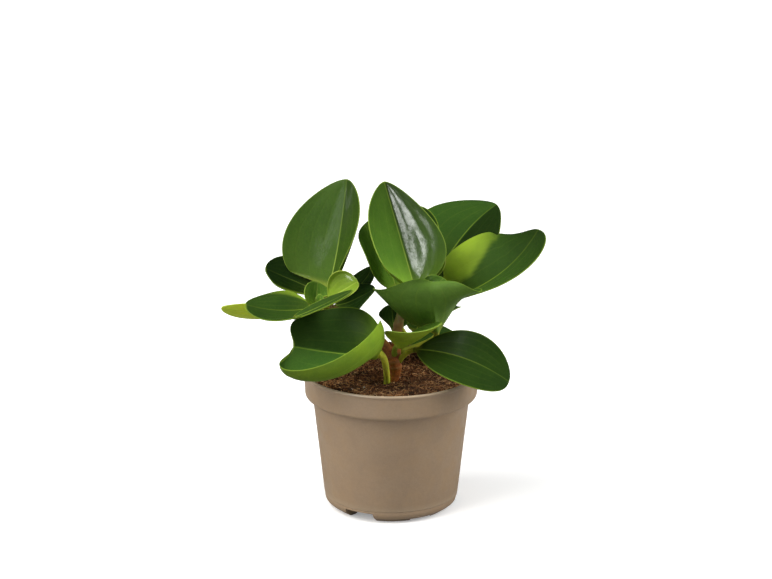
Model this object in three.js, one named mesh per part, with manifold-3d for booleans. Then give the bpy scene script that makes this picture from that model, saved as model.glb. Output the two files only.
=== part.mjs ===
// Potted peperomia: a young plant with broad fleshy leaves in a recycled plastic nursery pot.
// Millimetres, +Z up. The origin is on the ground under the middle of the pot, and the front
// of the plant looks along -Y.

import * as THREE from 'three';
import { mergeVertices } from 'three/addons/utils/BufferGeometryUtils.js';
import Module from 'manifold-3d';

const wasm = await Module();
wasm.setup();

// Pot
const potHeight = 96.5;
const rimRadius = 60;
const collarRadius = 59;
const collarBottom = 78.8;
const bodyFootRadius = 45.05;
const bodySlope = 0.112;
const wall = 1.2;
const footOuterRadius = 39.5;
const footWidth = 6;
const footCurve = [[42.6, 2.3], [44.8, 4], [45.7, 6.2]];
const bodyStart = 9;
const floorUnderside = 3;
const padRadius = 9;
const potSides = 48;

// Notches round the foot: three deep ones that drain the pot, three shallow ones between them
const notchCount = 6;
const firstNotchAngle = -29.5;
const deepNotch = { width: 29, top: 7 };
const shallowNotch = { width: 25, top: 2 };
const notchReach = 50;

// Soil
const soilGap = 0.3;
const soilEdgeHeight = 92;
const soilRings = 8;
const soilFootRadius = 40;

// Plant
const seatGap = 0.3;
const stemSides = 10;
const budLength = 2;
const bladeThickness = 1.5;
const edgeThickness = 0.7;
const bladeRows = 9;
const petioleRows = 3;
const petioleArc = 150;
const ribReach = 2.4;
const cleftReach = 0.16;
const colors = {
  pot: 0x9a8468, soil: 0x4a2c1c, stems: 0x7a4526, youngLeaf: 0x5d8f2c, leaf: 0x2f6422,
};

const degrees = Math.PI / 180;
const vec = (x, y, z) => new THREE.Vector3(x, y, z);
const smooth = (a, b, x) => THREE.MathUtils.smoothstep(x, a, b);

// Meshes and solids

function solidOf(geometry) {
  const plain = geometry.clone();
  plain.deleteAttribute('normal');
  plain.deleteAttribute('uv');
  const merged = mergeVertices(plain, 1e-4);
  return new wasm.Manifold(new wasm.Mesh({
    numProp: 3,
    vertProperties: new Float32Array(merged.attributes.position.array),
    triVerts: new Uint32Array(merged.index.array),
  }));
}

function geometryOf(solid) {
  const mesh = solid.getMesh();
  const geometry = new THREE.BufferGeometry();
  geometry.setAttribute('position', new THREE.BufferAttribute(mesh.vertProperties, 3));
  geometry.setIndex(new THREE.BufferAttribute(mesh.triVerts, 1));
  return geometry;
}

// A closed skin over rings of equal length. Faces of the second half of each ring are split
// the other way, so that the two sides of a blade are split alike.
function loft(rings, start, end) {
  const count = rings[0].length;
  const points = [];
  const faces = [];
  for (const ring of rings) points.push(...ring);
  const startPole = points.push(start) - 1;
  const endPole = points.push(end) - 1;
  for (let i = 0; i < count; i += 1) {
    const next = (i + 1) % count;
    faces.push(startPole, next, i);
    const last = (rings.length - 1) * count;
    faces.push(endPole, last + i, last + next);
    for (let row = 0; row < rings.length - 1; row += 1) {
      const a = row * count + i;
      const b = row * count + next;
      const c = a + count;
      const d = b + count;
      if (i < count / 2) faces.push(a, b, d, a, d, c);
      else faces.push(a, b, c, b, d, c);
    }
  }
  const geometry = new THREE.BufferGeometry().setFromPoints(points);
  geometry.setIndex(faces);
  return geometry;
}

// Round tube along a smooth curve, with a radius for each of its points and a blunt point
function tube(points, radii, sides, point) {
  const curve = new THREE.CatmullRomCurve3(points.map((p) => vec(...p)));
  const steps = points.length * 2;
  const rings = [];
  let side = vec(0, 1, 0);
  for (let i = 0; i <= steps; i += 1) {
    const t = i / steps;
    const place = t * (radii.length - 1);
    const low = Math.min(Math.floor(place), radii.length - 2);
    const radius = THREE.MathUtils.lerp(radii[low], radii[low + 1], place - low);
    const along = curve.getTangent(t);
    side = side.clone().projectOnPlane(along).normalize();
    const across = along.clone().cross(side);
    const middle = curve.getPoint(t);
    const ring = [];
    for (let k = 0; k < sides; k += 1) {
      const turn = k / sides * 2 * Math.PI;
      ring.push(middle.clone()
        .addScaledVector(side, radius * Math.cos(turn))
        .addScaledVector(across, radius * Math.sin(turn)));
    }
    rings.push(ring);
  }
  const end = curve.getPoint(1).addScaledVector(curve.getTangent(1), point);
  return loft(rings, curve.getPoint(0), end);
}

// Pot: one turned shell with a foot ring, a middle pad and six notches

const bodyRadius = (z) => bodyFootRadius + bodySlope * z;

function potProfile() {
  const footInner = footOuterRadius - footWidth;
  const floorTop = floorUnderside + wall;
  const insideRadius = (z) => bodyRadius(z) - wall;
  const outline = [
    [0, 0], [padRadius, 0], [padRadius + 1, floorUnderside],
    [footInner - 1, floorUnderside], [footInner, 0], [footOuterRadius, 0],
    [footOuterRadius + 1.2, 1.2], ...footCurve,
    [bodyRadius(bodyStart), bodyStart], [bodyRadius(collarBottom), collarBottom],
    [collarRadius - 1.8, collarBottom], [collarRadius - 0.5, collarBottom + 0.6],
    [collarRadius, collarBottom + 2], [collarRadius + 0.4, potHeight - 2.6],
    [rimRadius, potHeight - 1.6], [rimRadius, potHeight - 0.6],
    [rimRadius - 0.6, potHeight], [rimRadius - 1.7, potHeight],
    [rimRadius - 2, potHeight - 0.6],
    [collarRadius - wall, collarBottom + 3.4], [collarRadius - wall - 1.4, collarBottom + wall],
    [insideRadius(collarBottom) + 0.4, collarBottom + wall],
    [insideRadius(collarBottom), collarBottom - 0.4],
    [insideRadius(bodyStart), bodyStart - 1],
    [insideRadius(0) - 0.85, floorTop + 1.2], [insideRadius(0) - 1.85, floorTop], [0, floorTop],
  ];
  return outline.map(([r, z]) => new THREE.Vector2(r, z));
}

// Wedge of the foot that a notch takes away, a little narrower at its top
function notchCutter({ width, top }) {
  const inner = footOuterRadius - footWidth - 0.7;
  const outer = notchReach;
  const half = width / 2 * degrees;
  const ring = (z, narrowing) => {
    const points = [];
    for (const [radius, side] of [[inner, -1], [outer, -1], [outer, 0], [outer, 1], [inner, 1]]) {
      const turn = side * half * narrowing;
      points.push(vec(radius * Math.sin(turn), -radius * Math.cos(turn), z));
    }
    return points;
  };
  const low = ring(-1, 1.05);
  const high = ring(top, 0.92);
  const middle = (inner + outer) / 2;
  return loft([low, high], vec(0, -middle, -1), vec(0, -middle, top));
}

function makePot() {
  let pot = solidOf(new THREE.LatheGeometry(potProfile(), potSides).rotateX(Math.PI / 2));
  for (let i = 0; i < notchCount; i += 1) {
    const notch = i % 2 === 0 ? deepNotch : shallowNotch;
    const turn = (firstNotchAngle + i * 360 / notchCount) * degrees;
    pot = pot.subtract(solidOf(notchCutter(notch).rotateZ(turn)));
  }
  return pot;
}

// Soil: fills the pot, a little lower round the stems and heaped up towards the back

function soilHeight(x, y) {
  const heap = 8.5 * Math.exp(-((x - 4) ** 2 + (y - 42) ** 2) / 520);
  const hollow = 1.8 * Math.exp(-((x - 2) ** 2 + (y + 12) ** 2) / 300);
  const lumps = 0.5 * Math.sin(x * 0.41 + 1.3) * Math.sin(y * 0.37 + 0.4)
    + 0.35 * Math.sin(x * 0.83 - y * 0.61) + 0.25 * Math.cos(x * 0.29 + y * 0.97);
  return soilEdgeHeight + heap - hollow + lumps;
}

function makeSoil() {
  const inside = (z) => bodyRadius(z) - wall - soilGap;
  const floor = floorUnderside + wall + soilGap;
  const collarInside = collarRadius - wall - soilGap;
  const sideRings = [[soilFootRadius, floor], [soilFootRadius + 2.4, floor + 1.6],
    [inside(bodyStart), bodyStart],
    [inside(collarBottom), collarBottom - 0.4],
    [inside(collarBottom), collarBottom + wall + soilGap],
    [collarInside - 1.6, collarBottom + wall + soilGap],
    [collarInside, collarBottom + 4], [collarInside + 0.1, soilEdgeHeight - 1.5]];
  const circle = (radius, height) => {
    const ring = [];
    for (let k = 0; k < potSides; k += 1) {
      const turn = k / potSides * 2 * Math.PI;
      const x = radius * Math.cos(turn);
      const y = radius * Math.sin(turn);
      ring.push(vec(x, y, height(x, y)));
    }
    return ring;
  };
  const rings = sideRings.map(([radius, z]) => circle(radius, () => z));
  for (let i = 0; i < soilRings; i += 1) {
    const radius = (collarInside - 0.6) * (1 - i / soilRings);
    rings.push(circle(radius, soilHeight));
  }
  return solidOf(loft(rings, vec(0, 0, floor), vec(0, 0, soilHeight(0, 0))));
}

// Stems: the first shoot leans to the left and the second stands on it, at the right

const firstShoot = [[0.5, -6, 78], [1, -6, 88], [3, -6, 98], [2, -6, 105], [-2, -5, 112],
  [-8, -4, 119], [-20, -4, 128], [-33, -6, 137], [-42, -7.5, 143], [-46, -8, 149]];
const firstShootRadii = [3.2, 3.6, 3.9, 3.8, 3.4, 3.1, 2.9, 2.8, 2.6, 1.8];
const secondShoot = [[3, -5.5, 104], [3.6, -3, 113], [4.6, 1, 125], [7, 2, 136], [10, 3, 145],
  [14, 3, 154]];
const secondShootRadii = [3.2, 3.4, 3.2, 3, 2.8, 1.8];

function makeStems(extra) {
  const grow = (radii) => radii.map((radius) => radius + extra);
  const [[x, y, z], ...above] = firstShoot;
  const first = [[x, y, z - extra], ...above];
  const point = budLength + 2 * extra;
  return solidOf(tube(first, grow(firstShootRadii), stemSides, point))
    .add(solidOf(tube(secondShoot, grow(secondShootRadii), stemSides, point)));
}

// Leaf: a petiole that carries on as the midrib of a fleshy blade.
//   joint, base, mid, tip   where the petiole starts, the blade starts, its middle, its end
//   face                    the way that the upper side looks at the middle
//   width                   across the blade at its widest
//   fold, fade              degrees that each half rises at the midrib, at base and tip
//   cup, curl               further degrees out to the left and right edge, even and at the rim
//   twist, lean             turn of the blade along its length, share by which the right is wider
//   widest, shoulder, crown place of the widest part, fullness at the base and at the tip
//   rightShoulder           fullness at the base of the right half, where it differs
//   notch                   depth of the small cleft at the tip
//   stalk                   radius of the petiole
//   outer                   where the blade's outer vertices lie, as shares of the half width

const leafDefaults = {
  fold: [12, 0], fade: 1, cup: [20, 20], curl: [0, 0], twist: 0, lean: 0,
  widest: 1.1, shoulder: 0.7, crown: 0.5, notch: 0, stalk: 1.8, outer: [0.6, 1],
};

const leaves = {
  leaf_left_top: {
    joint: [-45.3, -8, 148.5], base: [-42, 2, 155.5], mid: [-35, 9, 187.5], tip: [-30, 20, 225.5],
    face: [-0.43, -0.75, 0.48], width: 62, fold: [15, -5], cup: [24, 73], curl: [-5, 16],
    twist: 39, lean: -0.27, widest: 0.66, shoulder: 0.29, rightShoulder: 0.72, crown: 0.59,
  },
  leaf_left_back: {
    joint: [-43, -7.6, 144.1], base: [-52, 4, 149.5], mid: [-69, 14, 156], tip: [-86, 15, 163],
    face: [0.1, -0.38, 0.92], width: 38, fold: [5, 5], cup: [25, 25],
    widest: 1.14, shoulder: 0.78, stalk: 1.5,
  },
  leaf_left_front: {
    joint: [-41, -7.3, 142], base: [-52, -15, 145], mid: [-73, -20, 144], tip: [-98, -26, 150],
    face: [0, -0.32, 0.95], width: 43, fold: [18, -2], cup: [26, 26], twist: -8, lean: -0.18,
    widest: 0.88, shoulder: 0.8, stalk: 1.5,
  },
  leaf_left_low: {
    joint: [-37, -6.5, 139], base: [-60, -2, 138], mid: [-89, 1, 135], tip: [-116, 6, 138],
    face: [0.33, 0.59, 0.73], width: 28, fold: [14, -4], cup: [17, 17], twist: 8, lean: 0.06,
    widest: 1.14, shoulder: 0.8, stalk: 1.5,
  },
  young_left_cup: {
    joint: [-46, -8, 149], base: [-50.5, -14, 149], mid: [-52.5, -13, 153], tip: [-52, -8, 161],
    face: [0.6, -0.78, 0.1], width: 22, fold: [12, 5], cup: [30, 30], shoulder: 0.78,
    stalk: 1.1,
  },
  young_left_bright: {
    joint: [-43.8, -7.7, 146.8], base: [-43, -17, 150], mid: [-32, -25, 160], tip: [-22, -27, 166.5],
    face: [-0.32, -0.51, 0.8], width: 30, fold: [19, 11], cup: [54, 18], curl: [27, 0],
    twist: -5, widest: 1.05, shoulder: 0.58, stalk: 1.1,
  },
  young_left_behind: {
    joint: [-42, -7.5, 143], base: [-38, 14, 142.5], mid: [-23, 20, 148.5], tip: [-12, 23, 162.5],
    face: [-0.07, -0.31, 0.95], width: 20, fold: [8, 5], cup: [15, 15], widest: 1.16,
    shoulder: 0.8, stalk: 1.1,
  },
  leaf_left_inner: {
    joint: [-38.5, -6.9, 140.6], base: [-38, -2, 142], mid: [-26, 2, 144.5], tip: [-11, 0, 153.5],
    face: [-0.14, -0.36, 0.92], width: 32, fold: [7, 6], cup: [9, 9], twist: -16, lean: 0.07,
    widest: 1.13, shoulder: 0.8, stalk: 1.3,
  },
  leaf_right_top: {
    joint: [13.5, 3, 152], base: [16, -8, 155], mid: [9, 6, 177], tip: [-5, 23, 223],
    face: [0.28, -0.9, 0.28], width: 74, fold: [32, 31], cup: [28, 8], curl: [5, -10],
    twist: -10, lean: -0.2, widest: 0.97, shoulder: 0.26, rightShoulder: 0.8, crown: 0.67,
  },
  leaf_right_left: {
    joint: [11, 3, 148], base: [4, 11, 151], mid: [-7, 14, 177], tip: [-19, 17, 194],
    face: [0.21, -0.62, 0.76], width: 48, fold: [11, 8], cup: [45, 45], twist: 4, lean: -0.1,
    widest: 1.09,
  },
  leaf_right_back: {
    joint: [9, 2.9, 142], base: [27, 33, 145], mid: [50, 53.5, 175.5], tip: [74, 65, 195],
    face: [-0.31, -0.59, 0.74], width: 66, fold: [15, -6], cup: [3, 3], twist: -45,
    lean: -0.12, widest: 1.06, shoulder: 0.72,
  },
  leaf_right_bright: {
    joint: [12.2, 3, 150.5], base: [21, 9, 156], mid: [26, 14, 168], tip: [28, 20, 180],
    face: [-0.1, -0.9, 0.4], width: 24, fold: [8, 4], stalk: 1.1,
  },
  leaf_right_long: {
    joint: [7.2, 2.1, 136.5], base: [37, 25.5, 136.5], mid: [74, -0.5, 164.5],
    tip: [100, 3.5, 194.5], face: [-0.39, -0.49, 0.77], width: 65, fold: [48, -11],
    cup: [-2, 32], curl: [-45, -1], twist: -9, lean: -0.22, widest: 0.82, shoulder: 0.24,
    rightShoulder: 0.91, crown: 0.45,
  },
  leaf_right_front: {
    joint: [3.3, -4, 109], base: [31, -7, 124.3], mid: [27.5, -39, 154.3],
    tip: [26.5, -42, 171.3], face: [-0.04, 0.78, 0.62], width: 77, fold: [30, -25],
    cup: [36, 36], twist: -31, lean: 0.1, widest: 1.25, shoulder: 0.3,
  },
  young_right: {
    joint: [11.2, 3, 148], base: [25.5, -6.5, 149.5], mid: [29.5, -14.5, 158.5], tip: [35.5, -13, 165],
    face: [-0.2, -0.7, 0.6], width: 20, fold: [10, 5], stalk: 1.1,
  },
  leaf_middle_cup: {
    joint: [2.8, -6, 104], base: [4.5, -15, 117.8], mid: [18.5, -33.5, 129.8], tip: [33, -45, 142.8],
    face: [0, -0.06, 1], width: 36, fold: [45, 5], cup: [4, 4], twist: 4, lean: 0.2,
    widest: 0.93, shoulder: 0.4,
  },
  leaf_middle_small: {
    joint: [4.2, -0.5, 121], base: [1.5, 6, 123], mid: [1, 13, 128], tip: [0, 18, 137],
    face: [0.37, -0.91, 0.19], width: 25, fold: [10, 6], cup: [24, 24], widest: 1.13,
    shoulder: 0.75, stalk: 1.3,
  },
  leaf_front_left: {
    joint: [-3, -9, 80], base: [-8.5, -25, 115], mid: [-32, -31, 117], tip: [-75, -31, 124],
    face: [-0.12, -0.66, 0.73], width: 82, fold: [76, -11], fade: 2, cup: [67, 17],
    curl: [70, 5], twist: -15, lean: -0.2, widest: 1.07, shoulder: 0.2, crown: 0.3, notch: 6,
    stalk: 2.2, outer: [0.3, 0.55, 0.7, 0.85, 1],
  },
  leaf_front_right: {
    joint: [2.9, -6, 100], base: [16, -15, 115], mid: [48, -39, 117], tip: [79, -39, 100],
    face: [0.17, -0.79, 0.59], width: 42, fold: [17, 8], cup: [14, 14], twist: -10,
    lean: 0.07, widest: 1.21, shoulder: 0.72,
  },
  leaf_back_left: {
    joint: [2, -6, 104], base: [-8, 12, 106], mid: [-28, 31, 111], tip: [-50, 48, 108],
    face: [0.1, -0.1, 0.98], width: 44, stalk: 1.6,
  },
  leaf_back_middle: {
    joint: [5, 1.2, 128], base: [16, 14, 117], mid: [28, 36, 126], tip: [42, 54, 126],
    face: [-0.2, -0.3, 0.93], width: 42, stalk: 1.6,
  },
  leaf_back_right: {
    joint: [3, -6, 100], base: [14, 12, 106], mid: [34, 28, 108], tip: [56, 44, 100],
    face: [0, -0.2, 0.98], width: 40, stalk: 1.6,
  },
  leaf_back_top: {
    joint: [13.8, 3, 153.5], base: [11.5, 16, 158], mid: [17, 35, 178], tip: [15, 44, 200],
    face: [-0.2, -0.8, 0.5], width: 42, cup: [30, 30], stalk: 1.6,
  },
};

// Midrib as a curve through base, mid and tip
function midribOf(leaf) {
  const base = vec(...leaf.base);
  const tip = vec(...leaf.tip);
  const control = vec(...leaf.mid).multiplyScalar(2).addScaledVector(base.clone().add(tip), -0.5);
  return new THREE.QuadraticBezierCurve3(base, control, tip);
}

// Along the midrib, up out of the upper side, and across to the right, at t of its length
function frameAt(leaf, midrib, t) {
  const along = midrib.getTangent(t);
  const up = vec(...leaf.face).projectOnPlane(along).normalize();
  up.applyAxisAngle(along, leaf.twist * degrees * (t - 0.5));
  return { along, up, across: along.clone().cross(up) };
}

// The point of the leaf's middle skin at t of its length and v of its half width (-1 to 1),
// with the way out of the upper side there
const acrossSteps = 10;
function skinAt(leaf, midrib, t, v) {
  const right = v > 0;
  const side = Math.sign(v);
  const reach = Math.abs(v);
  const shoulder = right ? leaf.rightShoulder : leaf.shoulder;
  const fullness = shoulder + (leaf.crown - shoulder) * t;
  const outline = Math.max(Math.sin(Math.PI * t ** leaf.widest), 0) ** fullness;
  const half = leaf.width / 2 * outline * (1 + (right ? leaf.lean : -leaf.lean));
  const length = midrib.v0.distanceTo(midrib.v2);
  const cleft = Math.exp(-((half * reach / (cleftReach * leaf.width)) ** 2)) * smooth(0.75, 1, t);
  const place = t - leaf.notch / length * cleft;
  const { up, across } = frameAt(leaf, midrib, place);
  const fold = leaf.fold[1] + (leaf.fold[0] - leaf.fold[1]) * (1 - t) ** leaf.fade;
  const cup = leaf.cup[right ? 1 : 0] * half / (leaf.width / 2);
  const curl = leaf.curl[right ? 1 : 0];
  const slopeAt = (x) => (fold * Math.min(1, x * half / 2) + cup * x
    + curl * smooth(0.5, 1, x)) * degrees;
  let out = 0;
  let rise = 0;
  for (let i = 0; i < acrossSteps; i += 1) {
    const slope = slopeAt(reach * (i + 0.5) / acrossSteps);
    out += Math.cos(slope) * reach * half / acrossSteps;
    rise += Math.sin(slope) * reach * half / acrossSteps;
  }
  const slope = slopeAt(reach);
  const point = midrib.getPoint(place)
    .addScaledVector(across, side * out).addScaledVector(up, rise);
  const normal = up.clone().multiplyScalar(Math.cos(slope))
    .addScaledVector(across, -side * Math.sin(slope));
  return { point, normal, half };
}

// Rings of the petiole from its joint to the blade, which it leaves along the midrib. Their
// frame is carried back from the blade, so that the ring's two halves meet the blade's sides.
function petioleRings(leaf, midrib, radius) {
  const joint = vec(...leaf.joint);
  const run = joint.distanceTo(midrib.v0);
  const bend = midrib.v0.clone().addScaledVector(midrib.getTangent(0), -0.45 * run);
  const petiole = new THREE.QuadraticBezierCurve3(joint, bend, midrib.v0);
  const stations = leaf.outer.length * 2 + 3;
  const rings = [];
  let { up } = frameAt(leaf, midrib, 0);
  for (let row = petioleRows; row >= 0; row -= 1) {
    const t = row / petioleRows;
    const along = petiole.getTangent(t);
    up = up.clone().projectOnPlane(along).normalize();
    const across = along.clone().cross(up);
    const ring = [];
    for (const half of [0, Math.PI]) {
      for (let k = 0; k < stations; k += 1) {
        const turn = (90 + petioleArc * (0.5 - k / (stations - 1))) * degrees + half;
        ring.push(petiole.getPoint(t)
          .addScaledVector(across, radius * Math.cos(turn))
          .addScaledVector(up, radius * Math.sin(turn)));
      }
    }
    rings.unshift(ring);
  }
  return rings;
}

function makeLeaf(options) {
  const rightShoulder = options.shoulder ?? leafDefaults.shoulder;
  const leaf = { ...leafDefaults, rightShoulder, ...options };
  const midrib = midribOf(leaf);
  const rings = petioleRings(leaf, midrib, leaf.stalk);

  // Blade, thick at the midrib and thin at its edge
  for (let row = 1; row < bladeRows; row += 1) {
    const t = (1 - Math.cos(Math.PI * row / bladeRows)) / 2;
    const { half } = skinAt(leaf, midrib, t, 1);
    const rib = Math.min(leaf.outer[0] / 2, ribReach / half);
    const inner = [-rib, 0, rib];
    const columns = [...leaf.outer.map((v) => -v).reverse(), ...inner, ...leaf.outer];
    const upper = [];
    const lower = [];
    for (const v of columns) {
      const { point, normal } = skinAt(leaf, midrib, t, v);
      const thickness = edgeThickness + (bladeThickness - edgeThickness) * (1 - v * v);
      const keel = v === 0 ? (2 * leaf.stalk - bladeThickness) * (1 - t) ** 2 : 0;
      upper.push(point.clone().addScaledVector(normal, thickness / 2));
      lower.unshift(point.clone().addScaledVector(normal, -thickness / 2 - keel));
    }
    rings.push([...upper, ...lower]);
  }
  return solidOf(loft(rings, vec(...leaf.joint), skinAt(leaf, midrib, 1, 0).point));
}

// The hole that a petiole leaves in the soil
function petioleRoom(leaf) {
  const [x, y, z] = leaf.joint;
  const joint = [x, y, z - seatGap];
  const rings = petioleRings({ ...leaf, joint }, midribOf(leaf), leaf.stalk + 1.5 * seatGap);
  return solidOf(loft(rings, vec(...joint), vec(...leaf.base)));
}

// The finished plant in its pot

const plant = new THREE.Group();

function addPiece(name, solid, color, roughness) {
  const material = new THREE.MeshStandardMaterial({ color, roughness, metalness: 0 });
  const piece = new THREE.Mesh(geometryOf(solid), material);
  piece.name = name;
  plant.add(piece);
}

const stems = makeStems(0);
const stemRoom = makeStems(seatGap);
const rootedRoom = petioleRoom({ ...leafDefaults, ...leaves.leaf_front_left });

addPiece('pot', makePot(), colors.pot, 0.55);
addPiece('soil', makeSoil().subtract(stemRoom).subtract(rootedRoom), colors.soil, 0.95);
addPiece('stems', stems, colors.stems, 0.5);
for (const [name, options] of Object.entries(leaves)) {
  const color = name.startsWith('young') ? colors.youngLeaf : colors.leaf;
  addPiece(name, makeLeaf(options).subtract(stemRoom), color, 0.35);
}

export default plant;
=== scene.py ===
"""Looks of a potted peperomia: fleshy glossy leaves, woody stems, coir soil and a plastic pot.

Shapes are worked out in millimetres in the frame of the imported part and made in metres.
"""

import math
from functools import partialmethod

import bpy
import numpy as np
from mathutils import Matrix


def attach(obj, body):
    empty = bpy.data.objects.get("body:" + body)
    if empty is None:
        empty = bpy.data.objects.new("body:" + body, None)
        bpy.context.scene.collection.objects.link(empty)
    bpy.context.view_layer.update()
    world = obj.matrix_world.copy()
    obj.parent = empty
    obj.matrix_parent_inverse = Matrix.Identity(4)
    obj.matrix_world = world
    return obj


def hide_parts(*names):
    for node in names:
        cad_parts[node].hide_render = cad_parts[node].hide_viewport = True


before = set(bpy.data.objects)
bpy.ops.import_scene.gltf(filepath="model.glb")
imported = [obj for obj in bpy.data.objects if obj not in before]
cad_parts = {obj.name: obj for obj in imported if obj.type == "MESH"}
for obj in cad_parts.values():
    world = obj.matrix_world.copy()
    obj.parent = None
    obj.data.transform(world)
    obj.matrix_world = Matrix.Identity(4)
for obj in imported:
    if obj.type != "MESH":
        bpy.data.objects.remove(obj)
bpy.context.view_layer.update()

MM = 0.001
scene = bpy.context.scene


# Camera

AIM = (-3.5, 0.0, 153.2)
CAMERA_DISTANCE = 2000.0
CAMERA_ELEVATION = 16.8
SENSOR_WIDTH = 36.0
LENS = 137.3
CLIP = (0.05, 50.0)


def aim_at(thing, aim, azimuth, elevation, distance):
    """Places a camera or a light so that it looks at aim; azimuth 0 is in front of the part"""
    turn, rise = math.radians(azimuth), math.radians(elevation)
    thing.location = (
        (aim[0] + distance * math.sin(turn) * math.cos(rise)) * MM,
        (aim[1] - distance * math.cos(turn) * math.cos(rise)) * MM,
        (aim[2] + distance * math.sin(rise)) * MM,
    )
    thing.rotation_euler = (math.pi / 2 - rise, 0, turn)


def make_camera():
    data = bpy.data.cameras.new("camera")
    data.sensor_width = SENSOR_WIDTH
    data.lens = LENS
    data.clip_start, data.clip_end = CLIP
    camera = bpy.data.objects.new("camera", data)
    scene.collection.objects.link(camera)
    aim_at(camera, AIM, 0, CAMERA_ELEVATION, CAMERA_DISTANCE)
    scene.camera = camera


# Small helpers for numbers

def smooth(low, high, x):
    x = np.clip((x - low) / (high - low), 0, 1)
    return x * x * (3 - 2 * x)


def unit(vectors):
    return vectors / np.linalg.norm(vectors, axis=-1, keepdims=True)


def without(vectors, axis):
    """The part of the vectors that is square to the axis, at length 1"""
    return unit(vectors - (vectors * axis).sum(-1, keepdims=True) * axis)


def bezier(start, bend, end, t):
    t = np.asarray(t, float)[..., None]
    return (1 - t) ** 2 * start + 2 * t * (1 - t) * bend + t * t * end


def bezier_tangent(start, bend, end, t):
    t = np.asarray(t, float)[..., None]
    return unit((1 - t) * (bend - start) + t * (end - bend))


def smooth_line(points, t):
    """Centripetal curve through the points, at t of the way through their list"""
    points = np.asarray(points, float)
    ends = (2 * points[0] - points[1], 2 * points[-1] - points[-2])
    padded = np.vstack([ends[0], points, ends[1]])
    place = np.clip(t, 0, 1) * (len(points) - 1)
    span = np.minimum(place.astype(int), len(points) - 2)
    w = (place - span)[:, None]
    p0, p1, p2, p3 = (padded[span + i] for i in range(4))
    d0, d1, d2 = (
        np.sqrt(np.linalg.norm(b - a, axis=1, keepdims=True))
        for a, b in ((p0, p1), (p1, p2), (p2, p3))
    )
    leave = d1 * ((p1 - p0) / d0 - (p2 - p0) / (d0 + d1) + (p2 - p1) / d1)
    arrive = d1 * ((p2 - p1) / d1 - (p3 - p1) / (d1 + d2) + (p3 - p2) / d2)
    return (
        p1
        + leave * w
        + (3 * (p2 - p1) - 2 * leave - arrive) * w**2
        + (2 * (p1 - p2) + leave + arrive) * w**3
    )


def round_turns(count):
    """The angles of so many even steps round a full turn"""
    return np.arange(count) / count * 2 * np.pi


def level_ring(radius, turns, height):
    """Points round the upright axis"""
    return np.stack(
        np.broadcast_arrays(radius * np.cos(turns), radius * np.sin(turns), height), -1
    )


def tilted_ring(turns, across, up):
    """Points of a circle of radius 1 in the plane of across and up, or of one for each pair"""
    first, second = np.cos(turns)[:, None], np.sin(turns)[:, None]
    return first * across[..., None, :] + second * up[..., None, :]


# Meshes

def set_mark(mesh, name, values):
    """Stores a number or a vector for each point, under a name that the materials read"""
    values = np.asarray(values, np.float32)
    kind, field = ("FLOAT_VECTOR", "vector") if values.ndim == 2 else ("FLOAT", "value")
    mesh.attributes.new(name, kind, "POINT").data.foreach_set(field, values.ravel())


def mesh_object(name, points, faces, material=None, marks=None):
    """Smooth mesh from points in mm, with a value for each point under each name in marks"""
    mesh = bpy.data.meshes.new(name)
    mesh.from_pydata((np.asarray(points) * MM).tolist(), [], faces)
    for mark, values in (marks or {}).items():
        set_mark(mesh, mark, values)
    mesh.shade_smooth()
    piece = bpy.data.objects.new(name, mesh)
    scene.collection.objects.link(piece)
    if material:
        mesh.materials.append(material)
    return piece


def loft_faces(rows, count, start, end):
    """Faces of a closed skin over rings of count points each, with a pole at either end"""
    faces = []
    for i in range(count):
        after = (i + 1) % count
        faces.append((start, after, i))
        last = (rows - 1) * count
        faces.append((end, last + i, last + after))
        for row in range(rows - 1):
            a = row * count
            faces.append((a + i, a + after, a + count + after, a + count + i))
    return faces


def joined(skins):
    """One skin out of several, each given as its points, faces and marks"""
    points, faces, marks = skins[0]
    for more_points, more_faces, more_marks in skins[1:]:
        shift = len(points)
        faces = faces + [tuple(i + shift for i in face) for face in more_faces]
        points = np.vstack([points, more_points])
        marks = {mark: np.concatenate([marks[mark], more_marks[mark]]) for mark in marks}
    return points, faces, marks


def finished(piece, nodes):
    """Puts a made piece in the part, under the root, where it stands for the nodes, which it hides
    """
    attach(piece, "root")
    if nodes:
        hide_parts(*nodes)


def plain_mesh(piece):
    """The piece with its modifiers worked into its mesh"""
    evaluated = piece.evaluated_get(bpy.context.evaluated_depsgraph_get())
    mesh = bpy.data.meshes.new_from_object(evaluated)
    piece.modifiers.clear()
    old = piece.data
    piece.data = mesh
    bpy.data.meshes.remove(old)
    mesh.name = piece.name
    return piece


# Nodes

class Nodes:
    """Adds nodes to a tree and gives back their outputs"""

    def __init__(self, tree):
        self.tree = tree

    def feed(self, sockets, values):
        """Gives each socket, by name or number, a plain value or the output of another node"""
        for name, value in values.items():
            if isinstance(value, bpy.types.NodeSocket):
                self.tree.links.new(value, sockets[name])
            else:
                sockets[name].default_value = value

    def outputs(self, kind, inputs=None, **settings):
        """All outputs of a new node"""
        made = self.tree.nodes.new(kind)
        for name, value in settings.items():
            setattr(made, name, value)
        self.feed(made.inputs, inputs or {})
        return made.outputs

    def add(self, kind, inputs=None, output=0, **settings):
        """One output of a new node"""
        return self.outputs(kind, inputs, **settings)[output]

    def math(self, operation, *values):
        return self.add("ShaderNodeMath", dict(enumerate(values)), operation=operation)

    plus = partialmethod(math, "ADD")
    minus = partialmethod(math, "SUBTRACT")
    times = partialmethod(math, "MULTIPLY")
    most = partialmethod(math, "MAXIMUM")
    size_of = partialmethod(math, "ABSOLUTE")

    def scaled(self, vector, scale):
        return self.add("ShaderNodeVectorMath", {0: vector, "Scale": scale}, operation="SCALE")


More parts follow.
